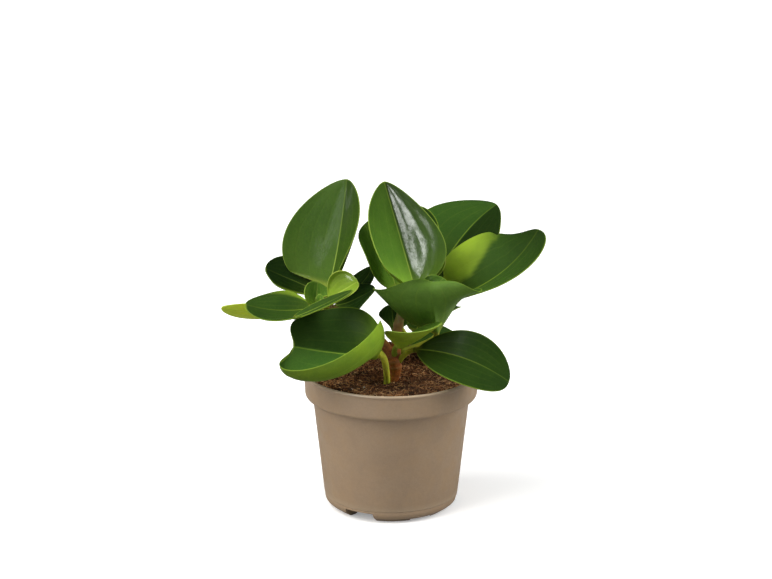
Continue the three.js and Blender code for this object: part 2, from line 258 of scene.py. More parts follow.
class Shading(Nodes):
    """Nodes of a material, a world or a shader node group"""

    def weighed(self, *terms):
        """Sum of values, each given after its weight"""
        total = 0.0
        for weight, value in terms:
            total = self.plus(total, self.times(value, weight))
        return total

    def fade(self, value, start, end, low=0.0, high=1.0):
        """Runs smoothly from low to high as the value goes from start to end"""
        return self.add(
            "ShaderNodeMapRange",
            {"Value": value, "From Min": start, "From Max": end, "To Min": low, "To Max": high},
            interpolation_type="SMOOTHSTEP",
        )

    def mix(self, amount, first, second, blend="MIX"):
        return self.add(
            "ShaderNodeMix", {0: amount, 6: first, 7: second}, output=2,
            data_type="RGBA", blend_type=blend,
        )

    def shaded(self, base, brightness):
        """The colour at this brightness, which is 1 where it stays as it is"""
        grey = self.add("ShaderNodeCombineXYZ", {0: brightness, 1: brightness, 2: brightness})
        return self.mix(1.0, base, grey, "MULTIPLY")

    def noise(self, place, scale, detail=3.0, roughness=0.55, distortion=0.0):
        return self.add("ShaderNodeTexNoise", {
            "Vector": place, "Scale": scale, "Detail": detail, "Roughness": roughness,
            "Distortion": distortion,
        })

    def bump(self, height, strength, distance):
        return self.add(
            "ShaderNodeBump", {"Height": height, "Strength": strength, "Distance": distance}
        )

    def mark(self, name, output=2):
        """A value (output 2) or vector (output 1) stored in the piece's mesh"""
        return self.add("ShaderNodeAttribute", output=output, attribute_name=name)

    def place(self, scale=(1, 1, 1)):
        """The point's own coordinates, in metres"""
        spot = self.add("ShaderNodeTexCoord", output=3)
        return self.add("ShaderNodeMapping", {"Vector": spot, "Scale": scale})

    def clouded(self, cloudy, base, patch, patches, specks):
        """Outputs of the cloudy effect; patches and specks each have a strength and a size in m"""
        return self.outputs("ShaderNodeGroup", {
            "Color": base, "Patch Color": patch, "Patches": patches[0], "Patch Size": patches[1],
            "Specks": specks[0], "Speck Size": specks[1],
        }, node_tree=cloudy)


def new_group(name, inputs, outputs):
    """A shader node group; sockets are given as name: kind, with kinds Color and Float"""
    tree = bpy.data.node_groups.new(name, "ShaderNodeTree")
    for names, way in ((inputs, "INPUT"), (outputs, "OUTPUT")):
        for socket, kind in names.items():
            tree.interface.new_socket(socket, in_out=way, socket_type=f"NodeSocket{kind}")
    entry = tree.nodes.new("NodeGroupInput")
    leave = tree.nodes.new("NodeGroupOutput")
    return tree, Shading(tree), entry.outputs, leave.inputs


def new_material(name):
    material = bpy.data.materials.new(name)
    material.use_nodes = True
    tree = material.node_tree
    return material, Shading(tree), tree.nodes["Principled BSDF"].inputs


def color(red, green, blue):
    return (red, green, blue, 1.0)


# Effects that several materials share

def cloudy_effect():
    """Cloudy patches and fine specks that vary a colour, as in grown or remelted stuff"""
    tree, made, given, out = new_group(
        "cloudy",
        {"Color": "Color", "Patch Color": "Color", "Patches": "Float", "Patch Size": "Float",
         "Specks": "Float", "Speck Size": "Float"},
        {"Color": "Color", "Patch Mask": "Float", "Speck Mask": "Float"},
    )
    place = made.place()
    wide = made.math("DIVIDE", 1.0, given["Patch Size"])
    fine = made.math("DIVIDE", 1.0, given["Speck Size"])
    patches = made.fade(made.noise(place, wide, 4.0, 0.6, 0.4), 0.35, 0.68)
    specks = made.fade(made.noise(place, fine, 2.0, 0.7), 0.25, 0.75)
    mixed = made.mix(made.times(patches, given["Patches"]), given["Color"], given["Patch Color"])
    swing = made.times(made.minus(specks, 0.5), given["Specks"])
    shown = made.shaded(mixed, made.plus(1.0, swing))
    made.feed(out, {"Color": shown, "Patch Mask": patches, "Speck Mask": specks})
    return tree


# Side veins of a leaf: their place from the midrib (0) to the edge (1), and their width in mm
SIDE_VEINS = ((0.26, 0.8), (0.5, 0.7), (0.74, 0.6))
MARGIN_WIDTH = 0.9


def leaf_lines(made, place):
    """Masks of the midrib, of the side veins and of the fine netting between them"""
    blade = made.mark("blade", 1)
    across, along, half = made.outputs("ShaderNodeSeparateXYZ", {0: blade})[:]
    reach = made.size_of(across)
    rib = made.fade(made.times(reach, half), 0.15, 0.75, 1.0, 0.0)
    rib = made.times(rib, made.fade(along, 0.1, 1.0, 1.0, 0.25))

    # The side veins leave the midrib at its foot and wander a little
    wander = made.times(made.minus(made.noise(place, 28.0), 0.5), 0.07)
    reach = made.plus(reach, wander)
    veins = 0.0
    for share, width in SIDE_VEINS:
        off = made.times(made.size_of(made.minus(reach, share)), half)
        veins = made.most(made.fade(off, 0.1, width, 1.0, 0.0), veins)
    ends = made.times(made.fade(along, 0.02, 0.18), made.fade(along, 0.75, 0.97, 1.0, 0.0))

    cells = {"Vector": place, "Scale": 330.0}
    net = made.add("ShaderNodeTexVoronoi", cells, feature="DISTANCE_TO_EDGE")
    return rib, made.times(veins, ends), made.fade(net, 0.0, 0.12, 1.0, 0.0)


def leaf_color(made, cloudy, given, mark, place, lines):
    """Colour of both sides of the blade, its margin and the petiole"""
    rib, veins, net = lines
    top = made.clouded(cloudy, given["Upper"], given["Deep"], (0.6, 0.03), (0.1, 0.0016))
    pale = made.most(made.times(rib, 0.7), made.times(veins, 0.05))
    top = made.mix(pale, top["Color"], given["Pale"])
    top = made.mix(made.times(net, 0.02), top, given["Pale"])
    back = made.clouded(cloudy, given["Under"], given["Upper"], (0.3, 0.018), (0.1, 0.0012))
    back = made.mix(made.times(made.most(rib, veins), 0.12), back["Color"], given["Pale"])
    shown = made.mix(mark["on_top"], back, top)

    # Yellow-green flush in clouds, partly young tissue and partly a painted lit zone; then painted
    # light and shade: each half of a leaf and its underside are painted lighter or darker
    clouds = made.fade(made.noise(place, 45.0), 0.3, 0.7, 0.75, 1.1)
    shown = made.mix(made.times(mark["flush"], clouds), shown, given["Flush And Lit Zone"])
    shown = made.shaded(shown, mark["tone"])
    margin = made.times(made.fade(mark["edge"], 0.0, MARGIN_WIDTH, 1.0, 0.0), 0.6)
    # The midrib is painted pale: its own pale colour, and on some leaves a painted highlight along
    # it
    crease = made.times(made.times(rib, mark["crease"]), mark["on_top"])
    shown = made.mix(made.most(margin, crease), shown, given["Pale"])
    # The petiole is painted lighter or darker too, as painted light and shade
    stem = made.clouded(cloudy, given["Stalk"], given["Under"], (0.5, 0.006), (0.15, 0.0008))
    return made.mix(mark["stalk"], shown, made.shaded(stem["Color"], mark["tone"]))


def leaf_effect(cloudy):
    """Skin of a leaf: midrib, side veins, pale margin, underside, petiole and patchy wax"""
    tree, made, given, out = new_group(
        "leaf_skin",
        dict.fromkeys(("Upper", "Deep", "Pale", "Under", "Stalk", "Flush And Lit Zone"), "Color"),
        {"Color": "Color", "Roughness": "Float", "Height": "Float", "Coat": "Float"},
    )
    place = made.place()
    names = ("edge", "upper", "stalk", "flush", "tone", "crease", "wax")
    mark = {name: made.mark(name) for name in names}
    mark["on_top"] = made.fade(mark["upper"], 0.35, 0.65)
    rib, veins, net = lines = leaf_lines(made, place)

    grain = made.noise(place, 900.0, roughness=0.6)
    pebble = made.noise(place, 260.0, 2.0, 0.5)
    dimples = made.times(made.noise(place, 560.0, 2.0, 0.6), mark["wax"])
    height = made.weighed(
        (0.6, grain), (0.9, pebble), (2.2, dimples), (-0.2, veins), (-0.5, rib), (-0.1, net)
    )
    patchy = made.fade(made.noise(place, 300.0, roughness=0.6), 0.36, 0.54, 0.45, 1.0)
    waxy = made.times(mark["wax"], patchy)
    gloss = made.fade(made.times(mark["upper"], waxy), 0.0, 1.0, 0.52, 0.3)
    worn = made.times(made.minus(grain, 0.5), 0.16)
    coat = made.times(made.times(mark["on_top"], waxy), made.fade(mark["edge"], 0.0, 0.6, 0.0, 0.3))
    made.feed(out, {
        "Color": leaf_color(made, cloudy, given, mark, place, lines),
        "Roughness": made.plus(gloss, worn), "Height": height, "Coat": coat,
    })
    return tree


# Materials

# Colours of the upper side, its clouds, its veins and margin, the underside, and the petiole
SKIN_COLORS = ("Upper", "Deep", "Pale", "Under", "Stalk")
LEAF_COLORS = {
    "mature": ((0.034, 0.08, 0.011), (0.022, 0.058, 0.009), (0.22, 0.32, 0.035),
               (0.1, 0.16, 0.012), (0.34, 0.34, 0.035)),
    # Painted shade: the mature leaf darkened, for the leaves that lie in shade inside the plant
    "in_shade": ((0.016, 0.044, 0.006), (0.01, 0.03, 0.005), (0.13, 0.2, 0.03),
             (0.09, 0.14, 0.012), (0.15, 0.2, 0.03)),
    "fresh": ((0.064, 0.135, 0.015), (0.044, 0.105, 0.012), (0.26, 0.36, 0.06),
              (0.16, 0.22, 0.016), (0.22, 0.27, 0.035)),
    "young": ((0.15, 0.235, 0.02), (0.1, 0.17, 0.014), (0.4, 0.48, 0.09),
              (0.27, 0.33, 0.02), (0.28, 0.33, 0.04)),
}
COOL_UNDERSIDE = color(0.098, 0.185, 0.028)
# Yellow-green of young tissue, also laid where a leaf lies in light, as a painted lit zone
FLUSH_AND_LIT_GREEN = color(0.25, 0.38, 0.03)
COAT_ROUGHNESS = 0.12
WAXY_COAT_ROUGHNESS = 0.14


def leaf_material(name, skin_effect, colors, coat_roughness=COAT_ROUGHNESS):
    material, made, shader = new_material(name)
    given = {**colors, "Flush And Lit Zone": FLUSH_AND_LIT_GREEN}
    skin = made.outputs("ShaderNodeGroup", given, node_tree=skin_effect)
    made.feed(shader, {
        "Base Color": skin["Color"], "Roughness": skin["Roughness"], "Specular IOR Level": 0.04,
        "Coat Weight": skin["Coat"], "Coat Roughness": coat_roughness, "Coat IOR": 1.65,
        "Subsurface Weight": 0.12, "Subsurface Radius": (0.5, 1.0, 0.2),
        "Subsurface Scale": 0.0015, "Normal": made.bump(skin["Height"], 0.8, 0.00025),
    })
    return material


def leaf_materials(cloudy):
    """Leaves of three ages, a darker copy of the mature leaf as painted shade for leaves that lie
    in shade, one with a cooler underside and one with a waxier coat
    """
    skin = leaf_effect(cloudy)
    colors = {
        name: dict(zip(SKIN_COLORS, (color(*value) for value in values)))
        for name, values in LEAF_COLORS.items()
    }
    made = {name: leaf_material(f"leaf_{name}", skin, colors[name]) for name in colors}
    cool = {**colors["mature"], "Under": COOL_UNDERSIDE}
    made["cool"] = leaf_material("leaf_cool", skin, cool)
    made["waxy"] = leaf_material("leaf_waxy", skin, colors["fresh"], WAXY_COAT_ROUGHNESS)
    return made


def stem_material(cloudy):
    """Woody red-brown bark low down that turns green and fleshy towards the tips"""
    material, made, shader = new_material("stem_bark")
    bark = made.clouded(cloudy, color(0.36, 0.115, 0.024), color(0.19, 0.055, 0.012),
                        (0.7, 0.005), (0.5, 0.0009))
    flesh = made.clouded(cloudy, color(0.15, 0.15, 0.025), color(0.16, 0.075, 0.02),
                         (0.8, 0.007), (0.2, 0.0009))
    shown = made.mix(made.mark("young"), bark["Color"], flesh["Color"])
    shown = made.mix(made.times(made.mark("node"), 0.5), shown, color(0.25, 0.14, 0.05))
    cracks = made.noise(made.place((1, 1, 0.25)), 1100.0, 4.0, 0.65, 0.6)
    height = made.weighed((1.0, cracks), (0.5, bark["Speck Mask"]))
    made.feed(shader, {
        "Base Color": shown, "Roughness": made.fade(cracks, 0.2, 0.8, 0.62, 0.42),
        "Subsurface Weight": 0.05, "Subsurface Scale": 0.001,
        "Normal": made.bump(height, 0.55, 0.0004),
    })
    return material


# Each kind of soil: its colour; a darker colour for its clouds, which on the soil body is also
# painted shade in the hollows; a paler colour for flecks, which on the soil body is also painted
# light on the crests; and its roughness
SOIL_KINDS = {
    "coir_soil": ((0.12, 0.048, 0.019), (0.025, 0.01, 0.004), (0.22, 0.1, 0.04), 0.95),
    "coir_crumbs": ((0.18, 0.075, 0.028), (0.03, 0.012, 0.005), (0.3, 0.14, 0.055), 0.95),
    "coir_fibres": ((0.6, 0.29, 0.115), (0.1, 0.04, 0.015), (0.8, 0.5, 0.24), 0.8),
    "white_grains": ((0.75, 0.68, 0.56), (0.5, 0.42, 0.32), (0.85, 0.8, 0.7), 0.9),
}


def soil_material(name, cloudy):
    """Damp coir: cloudy brown stuff, darker or paler by its tint mark: painted shade in the hollows
    and painted light on the crests of the soil body, and at random among the loose bits
    """
    material, made, shader = new_material(name)
    *colors, roughness = SOIL_KINDS[name]
    base, dark, bright = (color(*value) for value in colors)
    tint = made.mark("tint")
    ground = made.clouded(cloudy, base, dark, (0.9, 0.01), (0.7, 0.0009))
    # A high tint paints the soil paler and a low one darker: on the soil body this is painted light
    # on the crests and painted shade in the hollows
    shown = made.mix(made.fade(tint, 0.55, 1.0, 0.0, 0.9), ground["Color"], bright)
    shown = made.mix(made.fade(tint, 0.0, 0.35, 0.6, 0.0), shown, dark)
    grain = made.noise(made.place(), 1500.0, roughness=0.7)
    made.feed(shader, {
        "Base Color": shown, "Roughness": roughness, "Specular IOR Level": 0.25,
        "Normal": made.bump(grain, 0.8, 0.0004),
    })
    return material


def pot_material(cloudy):
    """Taupe remelted plastic: cloudy, faintly speckled, with a painted highlight along the rim and
    the mould line, and paler along the foot's bottom edge
    """
    material, made, shader = new_material("pot_plastic")
    body = made.clouded(cloudy, color(0.3, 0.21, 0.13), color(0.25, 0.172, 0.107),
                        (0.5, 0.03), (0.1, 0.0011))
    streaks = made.clouded(cloudy, body["Color"], color(0.33, 0.215, 0.115),
                           (0.35, 0.011), (0.06, 0.003))
    # Painted highlight along the rim and the mould line, and a paler bottom edge of the foot
    edge_highlight_and_pale_foot = made.times(made.mark("edge_highlight_and_pale_foot"), 0.5)
    shown = made.mix(edge_highlight_and_pale_foot, streaks["Color"], color(0.5, 0.4, 0.28))
    dust = made.times(made.mark("soiled"), made.fade(body["Speck Mask"], 0.3, 0.8))
    shown = made.mix(dust, shown, color(0.09, 0.045, 0.02))
    haze = made.fade(streaks["Patch Mask"], 0.0, 1.0, 0.42, 0.52)
    pits = made.noise(made.place(), 1400.0, 2.0, 0.5)
    swell = made.noise(made.place((1, 1, 0.5)), 60.0, 2.0, 0.5)
    height = made.weighed((0.25, pits), (1.6, swell))
    made.feed(shader, {
        "Base Color": shown, "Roughness": made.weighed((1.0, haze), (0.3, dust)),
        "Specular IOR Level": 0.45, "Normal": made.bump(height, 0.35, 0.0003),
    })
    return material


def floor_material():
    """Pale paper that is lit up evenly away from the pot and throws little light back"""
    material, made, shader = new_material("pale_floor")
    tone = made.fade(made.noise(made.place(), 6.0, 4.0), 0.3, 0.7)
    paper = made.mix(tone, color(0.93, 0.93, 0.925), color(0.9, 0.9, 0.9))
    seen = made.add("ShaderNodeLightPath")
    away = made.add("ShaderNodeVectorMath", {0: made.place()}, output=1, operation="LENGTH")
    near, far = made.fade(away, 0.05, 0.4, 0.15, 0.5), made.fade(away, 0.4, 1.4, 0.3, 0.95)
    made.feed(shader, {
        "Base Color": made.mix(seen, color(0.4, 0.4, 0.4), paper), "Roughness": 0.85,
        "Specular IOR Level": 0.1, "Emission Color": paper,
        "Emission Strength": made.times(made.most(near, far), seen),
    })
    return material


# Pot: one turned shell with a collar, a foot ring and six notches

POT_HEIGHT = 96.5
RIM_RADIUS = 60.0
COLLAR_RADIUS = 59.0
COLLAR_BOTTOM = 78.8
BODY_FOOT_RADIUS = 45.05
BODY_SLOPE = 0.112
WALL = 1.2
FOOT_OUTER_RADIUS = 39.5
FOOT_WIDTH = 6.0
FLOOR_UNDERSIDE = 3.0
PAD_RADIUS = 9.0
MOULD_LINE = 9.1
POT_SEGMENTS = 240

NOTCH_COUNT = 6
FIRST_NOTCH_ANGLE = -29.5
DEEP_NOTCH = {"width": 29.0, "top": 7.0}
SHALLOW_NOTCH = {"width": 25.0, "top": 2.0}


def body_radius(z):
    return BODY_FOOT_RADIUS + BODY_SLOPE * z


def pot_outline():
    """Section of the pot from the middle of its underside, round the rim, to its floor"""
    foot_inner = FOOT_OUTER_RADIUS - FOOT_WIDTH
    floor_top = FLOOR_UNDERSIDE + WALL

    def inside(z):
        return body_radius(z) - WALL

    return [
        (0, 0), (PAD_RADIUS, 0), (PAD_RADIUS + 1, FLOOR_UNDERSIDE),
        (foot_inner - 1, FLOOR_UNDERSIDE), (foot_inner, 0), (FOOT_OUTER_RADIUS, 0),
        (FOOT_OUTER_RADIUS + 1.2, 1.2), (42.6, 2.3), (44.8, 4), (45.7, 6.2),
        (body_radius(MOULD_LINE) - 0.4, MOULD_LINE - 0.35), (body_radius(MOULD_LINE), MOULD_LINE),
        (body_radius(COLLAR_BOTTOM), COLLAR_BOTTOM),
        (COLLAR_RADIUS - 1.8, COLLAR_BOTTOM), (COLLAR_RADIUS - 0.5, COLLAR_BOTTOM + 0.6),
        (COLLAR_RADIUS, COLLAR_BOTTOM + 2), (COLLAR_RADIUS + 0.4, POT_HEIGHT - 2.6),
        (RIM_RADIUS, POT_HEIGHT - 1.6), (RIM_RADIUS, POT_HEIGHT - 0.6),
        (RIM_RADIUS - 0.6, POT_HEIGHT), (RIM_RADIUS - 1.7, POT_HEIGHT),
        (RIM_RADIUS - 2, POT_HEIGHT - 0.6),
        (COLLAR_RADIUS - WALL, COLLAR_BOTTOM + 3.4),
        (COLLAR_RADIUS - WALL - 1.4, COLLAR_BOTTOM + WALL),
        (inside(COLLAR_BOTTOM) + 0.4, COLLAR_BOTTOM + WALL),
        (inside(COLLAR_BOTTOM), COLLAR_BOTTOM - 0.4),
        (inside(8), 8), (44.2 - WALL, floor_top + 1.2), (42, floor_top), (0, floor_top),
    ]


def rounded(outline, radius, steps):
    """The outline with each of its inner corners rounded off"""
    points = [np.array(p, float) for p in outline]
    made = [points[0]]
    for before, corner, after in zip(points, points[1:], points[2:]):
        into, away = corner - before, after - corner
        reach = min(radius, 0.48 * np.linalg.norm(into), 0.48 * np.linalg.norm(away))
        start, end = corner - unit(into) * reach, corner + unit(away) * reach
        made.extend(bezier(start, corner, end, np.linspace(0, 1, steps)))
    made.append(points[-1])
    return np.array(made)


def long_runs_split(outline, longest):
    """The outline with further points on runs longer than longest"""
    made = [outline[0]]
    for a, b in zip(outline, outline[1:]):
        parts = max(1, math.ceil(np.linalg.norm(b - a) / longest))
        made.extend(a + (b - a) * i / parts for i in range(1, parts + 1))
    return np.array(made)


# A formed pot is never quite round: how many waves run round it, their height in mm at the rim
# and their phase
OUT_OF_ROUND = ((2, 0.12, 0.7), (3, 0.07, 2.1))
SHARP_ANGLE = math.radians(38)


def turned(outline, segments):
    """Points and faces of the outline turned round the upright axis"""
    turns = round_turns(segments)
    radius, height = outline[1:-1, :1], outline[1:-1, 1:]
    swing = sum(size * np.sin(waves * turns + phase) for waves, size, phase in OUT_OF_ROUND)
    radius = radius + swing * (height / POT_HEIGHT) * smooth(30, 45, radius)
    points = level_ring(radius, turns, height).reshape(-1, 3)
    poles = [[0, 0, outline[0][1]], [0, 0, outline[-1][1]]]
    count = len(points)
    return np.vstack([points, poles]), loft_faces(len(radius), segments, count, count + 1)


def notch_cutter(index):
    """Wedge of the foot that one notch takes away"""
    notch = SHALLOW_NOTCH if index % 2 else DEEP_NOTCH
    middle = math.radians(FIRST_NOTCH_ANGLE + index * 360 / NOTCH_COUNT)
    inner, outer = FOOT_OUTER_RADIUS - FOOT_WIDTH - 0.7, 50.0
    half = math.radians(notch["width"] / 2)
    points = []
    for z, narrowing in ((-1.0, 1.05), (notch["top"], 0.92)):
        for radius, side in ((inner, -1), (outer, -1), (outer, 0), (outer, 1), (inner, 1)):
            turn = middle + side * half * narrowing
            points.append((radius * math.sin(turn), -radius * math.cos(turn), z))
    sides = [(i, (i + 1) % 5, 5 + (i + 1) % 5, 5 + i) for i in range(5)]
    return mesh_object(f"notch_cutter_{index}", points, [(4, 3, 2, 1, 0), (5, 6, 7, 8, 9), *sides])


def cut_notches(pot):
    """Takes the notches out of the pot's foot"""
    cutters = bpy.data.collections.new("notch_cutters")
    scene.collection.children.link(cutters)
    wedges = [notch_cutter(i) for i in range(NOTCH_COUNT)]
    for wedge in wedges:
        scene.collection.objects.unlink(wedge)
        cutters.objects.link(wedge)
    cut = pot.modifiers.new("notches", "BOOLEAN")
    cut.operation = "DIFFERENCE"
    cut.operand_type = "COLLECTION"
    cut.collection = cutters
    cut.solver = "EXACT"
    plain_mesh(pot)
    for wedge in wedges:
        bpy.data.objects.remove(wedge)
    bpy.data.collections.remove(cutters)


def make_pot(material):
    outline = long_runs_split(rounded(pot_outline(), radius=0.9, steps=5), longest=4.0)
    points, faces = turned(outline, POT_SEGMENTS)
    pot = mesh_object("nursery_pot", points, faces, material)
    cut_notches(pot)
    mesh = pot.data
    mesh.shade_smooth()
    mesh.set_sharp_from_angle(angle=SHARP_ANGLE)
    place = np.empty(len(mesh.vertices) * 3, np.float32)
    mesh.vertices.foreach_get("co", place)
    x, y, z = place.reshape(-1, 3).T / MM
    radius = np.hypot(x, y)
    # Painted highlight along the rim and the mould line's small step, and paler along the bottom
    # edge of the foot
    rim = smooth(1.6, 0.2, POT_HEIGHT - z) * smooth(RIM_RADIUS - 2.6, RIM_RADIUS - 0.8, radius)
    ledge = smooth(0.8, 0.1, np.abs(z - MOULD_LINE)) * smooth(44, 45, radius) * 0.5
    foot = smooth(1.8, 0.0, z) * 0.6
    set_mark(mesh, "edge_highlight_and_pale_foot", np.maximum(np.maximum(rim, ledge), foot))
    inner = smooth(0.2, 1.2, RIM_RADIUS - 1.6 - radius)
    set_mark(mesh, "soiled", inner * smooth(84, 92, z))
    finished(pot, ["pot"])


# Soil: fills the pot, a little lower round the stems and heaped up towards the back

SOIL_GAP = 0.3
SOIL_EDGE_HEIGHT = 92.0
SOIL_SEGMENTS = 260
SOIL_RINGS = 120
# How far under soil_height the solid soil lies, and the disc that carries the loose bits
SOLID_SINK = 0.4
LOOSE_SINK = 0.3
LOOSE_SEGMENTS = 72
LOOSE_RINGS = 56
# Smaller lumps than the heap's own: their size and strength in mm
CRUMBLE = ((5.5, 0.5), (3.1, 0.45), (1.9, 0.35), (1.2, 0.22))


def soil_height(x, y):
    heap = 8.5 * np.exp(-((x - 4) ** 2 + (y - 42) ** 2) / 520)
    hollow = 1.8 * np.exp(-((x - 2) ** 2 + (y + 12) ** 2) / 300)
    lumps = (
        0.5 * np.sin(x * 0.41 + 1.3) * np.sin(y * 0.37 + 0.4)
        + 0.35 * np.sin(x * 0.83 - y * 0.61)
        + 0.25 * np.cos(x * 0.29 + y * 0.97)
    )
    return SOIL_EDGE_HEIGHT + heap - hollow + lumps


def soil_crumble(x, y):
    """Rise of the smaller lumps, from crossing waves of falling size"""
    rise = np.zeros_like(x)
    for step, (size, strength) in enumerate(CRUMBLE):
        turn = 0.9 + 1.3 * step
        a = (x * math.cos(turn) + y * math.sin(turn)) * 2 * math.pi / size
        b = (y * math.cos(turn) - x * math.sin(turn)) * 2 * math.pi / size
        crossing = np.cos(b + 1.3 * np.sin(a * 0.27))
        rise += strength * np.sin(a + 1.7 * np.sin(b * 0.31 + step)) * crossing
    return rise


def soil_ring(radius, turns, sink, crumble=0.0):
    """Points of a level circle dropped on to the soil's surface, and a little under it"""
    x, y = radius * np.cos(turns), radius * np.sin(turns)
    return np.stack([x, y, soil_height(x, y) - sink + soil_crumble(x, y) * crumble], -1)


def make_soil(material):
    def inside(z):
        return body_radius(z) - WALL - SOIL_GAP

    floor = FLOOR_UNDERSIDE + WALL + SOIL_GAP
    collar_inside = COLLAR_RADIUS - WALL - SOIL_GAP
    ledge = COLLAR_BOTTOM + WALL + SOIL_GAP
    sides = [
        (40, floor), (42.4, floor + 1.6), (inside(9), 9),
        (inside(COLLAR_BOTTOM), COLLAR_BOTTOM - 0.4), (inside(COLLAR_BOTTOM), ledge),
        (collar_inside - 1.6, ledge), (collar_inside, COLLAR_BOTTOM + 4),
        (collar_inside + 0.1, SOIL_EDGE_HEIGHT - 2.5),
    ]
    turns = round_turns(SOIL_SEGMENTS)
    rings = [level_ring(radius, turns, z) for radius, z in sides]
    outermost = collar_inside - 0.3
    for i in range(SOIL_RINGS):
        radius = outermost * (1 - i / SOIL_RINGS)
        crumble = 0.4 + 0.6 * float(smooth(outermost, collar_inside - 3, radius))
        rings.append(soil_ring(radius, turns, SOLID_SINK, crumble))
    points = np.vstack([*rings, [[0, 0, floor]], [[0, 0, soil_height(0, 0) - SOLID_SINK]]])
    # Painted shade and light: points lower than the soil's surface are painted darker, higher ones
    # paler
    heights = points[:, 2] - soil_height(points[:, 0], points[:, 1])
    tint = np.clip(0.45 + heights * 0.22, 0, 1)
    count = len(points) - 2
    faces = loft_faces(len(rings), SOIL_SEGMENTS, count, count + 1)
    soil = mesh_object("soil_body", points, faces, material, {"tint": tint})
    finished(soil, ["soil"])


def soil_top(name, radius):
    """A plain disc on the soil, for scattering loose bits on"""
    count = LOOSE_SEGMENTS
    turns = round_turns(count)
    shares = [1 - i / LOOSE_RINGS for i in range(LOOSE_RINGS)]
    rings = [soil_ring(radius * share, turns, LOOSE_SINK) for share in shares]
    points = np.vstack([*rings, [[0, 0, soil_height(0, 0) - LOOSE_SINK]]])
    middle = len(points) - 1
    last = middle - count
    faces = [
        (a + i, a + (i + 1) % count, a + count + (i + 1) % count, a + count + i)
        for a in range(0, last, count) for i in range(count)
    ]
    faces += [(last + i, last + (i + 1) % count, middle) for i in range(count)]
    return mesh_object(name, points, faces)


class Scatter(Nodes):
    """Geometry node tree that scatters small bits over a surface and makes them real"""

    def __init__(self, name, sizes):
        super().__init__(bpy.data.node_groups.new(name, "GeometryNodeTree"))
        face = self.tree.interface
        face.new_socket("Geometry", in_out="INPUT", socket_type="NodeSocketGeometry")
        self.values = {}
        for label, value in sizes.items():
            kind = "NodeSocketInt" if isinstance(value, int) else "NodeSocketFloat"
            socket = face.new_socket(label, in_out="INPUT", socket_type=kind)
            self.values[socket.identifier] = value
        face.new_socket("Geometry", in_out="OUTPUT", socket_type="NodeSocketGeometry")
        self.entry = self.tree.nodes.new("NodeGroupInput").outputs
        self.leave = self.tree.nodes.new("NodeGroupOutput").inputs

    def random(self, low, high, seed):
        """A random vector, and for plain numbers a random number, for each bit"""
        if isinstance(low, tuple):
            return self.add("FunctionNodeRandomValue", {0: low, 1: high, "Seed": seed},
                            data_type="FLOAT_VECTOR")
        return self.add("FunctionNodeRandomValue", {2: low, 3: high, "Seed": seed}, output=1,
                        data_type="FLOAT")

    def run_on(self, piece, material):
        """Works the tree into the piece's mesh"""
        change = piece.modifiers.new(self.tree.name, "NODES")
        change.node_group = self.tree
        for identifier, value in self.values.items():
            change[identifier] = value
        plain_mesh(piece)
        piece.data.materials.clear()
        piece.data.materials.append(material)
        return piece


def crumb(made):
    return made.add("GeometryNodeMeshIcoSphere", {"Radius": 1.0, "Subdivisions": 2})


def fibre(made):
    """A thin bent thread, lying along X"""
    bow = made.add("GeometryNodeCurveQuadraticBezier", {
        "Resolution": 6, "Start": (-1, 0, -0.1), "Middle": (0.1, 0.55, 0.25),
        "End": (1, -0.1, -0.05),
    })
    ring = made.add("GeometryNodeCurvePrimitiveCircle", {"Resolution": 4, "Radius": 0.045})
    thread = {"Curve": bow, "Profile Curve": ring, "Fill Caps": True}
    return made.add("GeometryNodeCurveToMesh", thread)


def chip(made):
    """A flat splinter of husk"""
    return made.add("GeometryNodeMeshCube", {
        "Size": (1.0, 0.45, 0.12), "Vertices X": 4, "Vertices Y": 3, "Vertices Z": 2,
    })


# Loose bits on the soil, all within the radius: density in bits for each square metre, size in
# metres and the seed of their places; low and high bound each bit's own size along X, Y and Z, turn
# bounds the way it lies, and bend says by how many mm it is bent, over how many mm
ANY_WAY = (math.pi, math.pi, math.pi)
LOOSE_SOIL = {
    "soil_crumbs": {
        "bit": crumb, "material": "coir_crumbs", "radius": 56.0, "density": 230000.0,
        "size": 0.00075, "seed": 4, "low": (0.4, 0.4, 0.35), "high": (1.5, 1.3, 1.1),
        "turn": ANY_WAY, "bend": (0.9, 1.5),
    },
    "soil_fibres": {
        "bit": fibre, "material": "coir_fibres", "radius": 56.0, "density": 210000.0,
        "size": 0.0025, "seed": 9, "low": (0.5, 0.6, 0.8), "high": (1.7, 1.6, 1.9),
        "turn": (0.55, 0.55, math.pi), "bend": (1.1, 3.0),
    },
    "soil_husk": {
        "bit": chip, "material": "coir_fibres", "radius": 55.0, "density": 50000.0,
        "size": 0.0022, "seed": 13, "low": (0.4, 0.4, 0.6), "high": (1.5, 1.2, 1.4),
        "turn": (0.7, 0.7, math.pi), "bend": (0.7, 2.0),
    },
    "soil_white_grains": {
        "bit": crumb, "material": "white_grains", "radius": 50.0, "density": 400.0,
        "size": 0.0008, "seed": 21, "low": (0.7, 0.6, 0.6), "high": (1.3, 1.2, 1.1),
        "turn": ANY_WAY, "bend": (0.8, 1.1),
    },
}
CLUMP_SIZE = 11.0
SIZE_SEED, TURN_SEED, TINT_SEED = 3, 5, 11


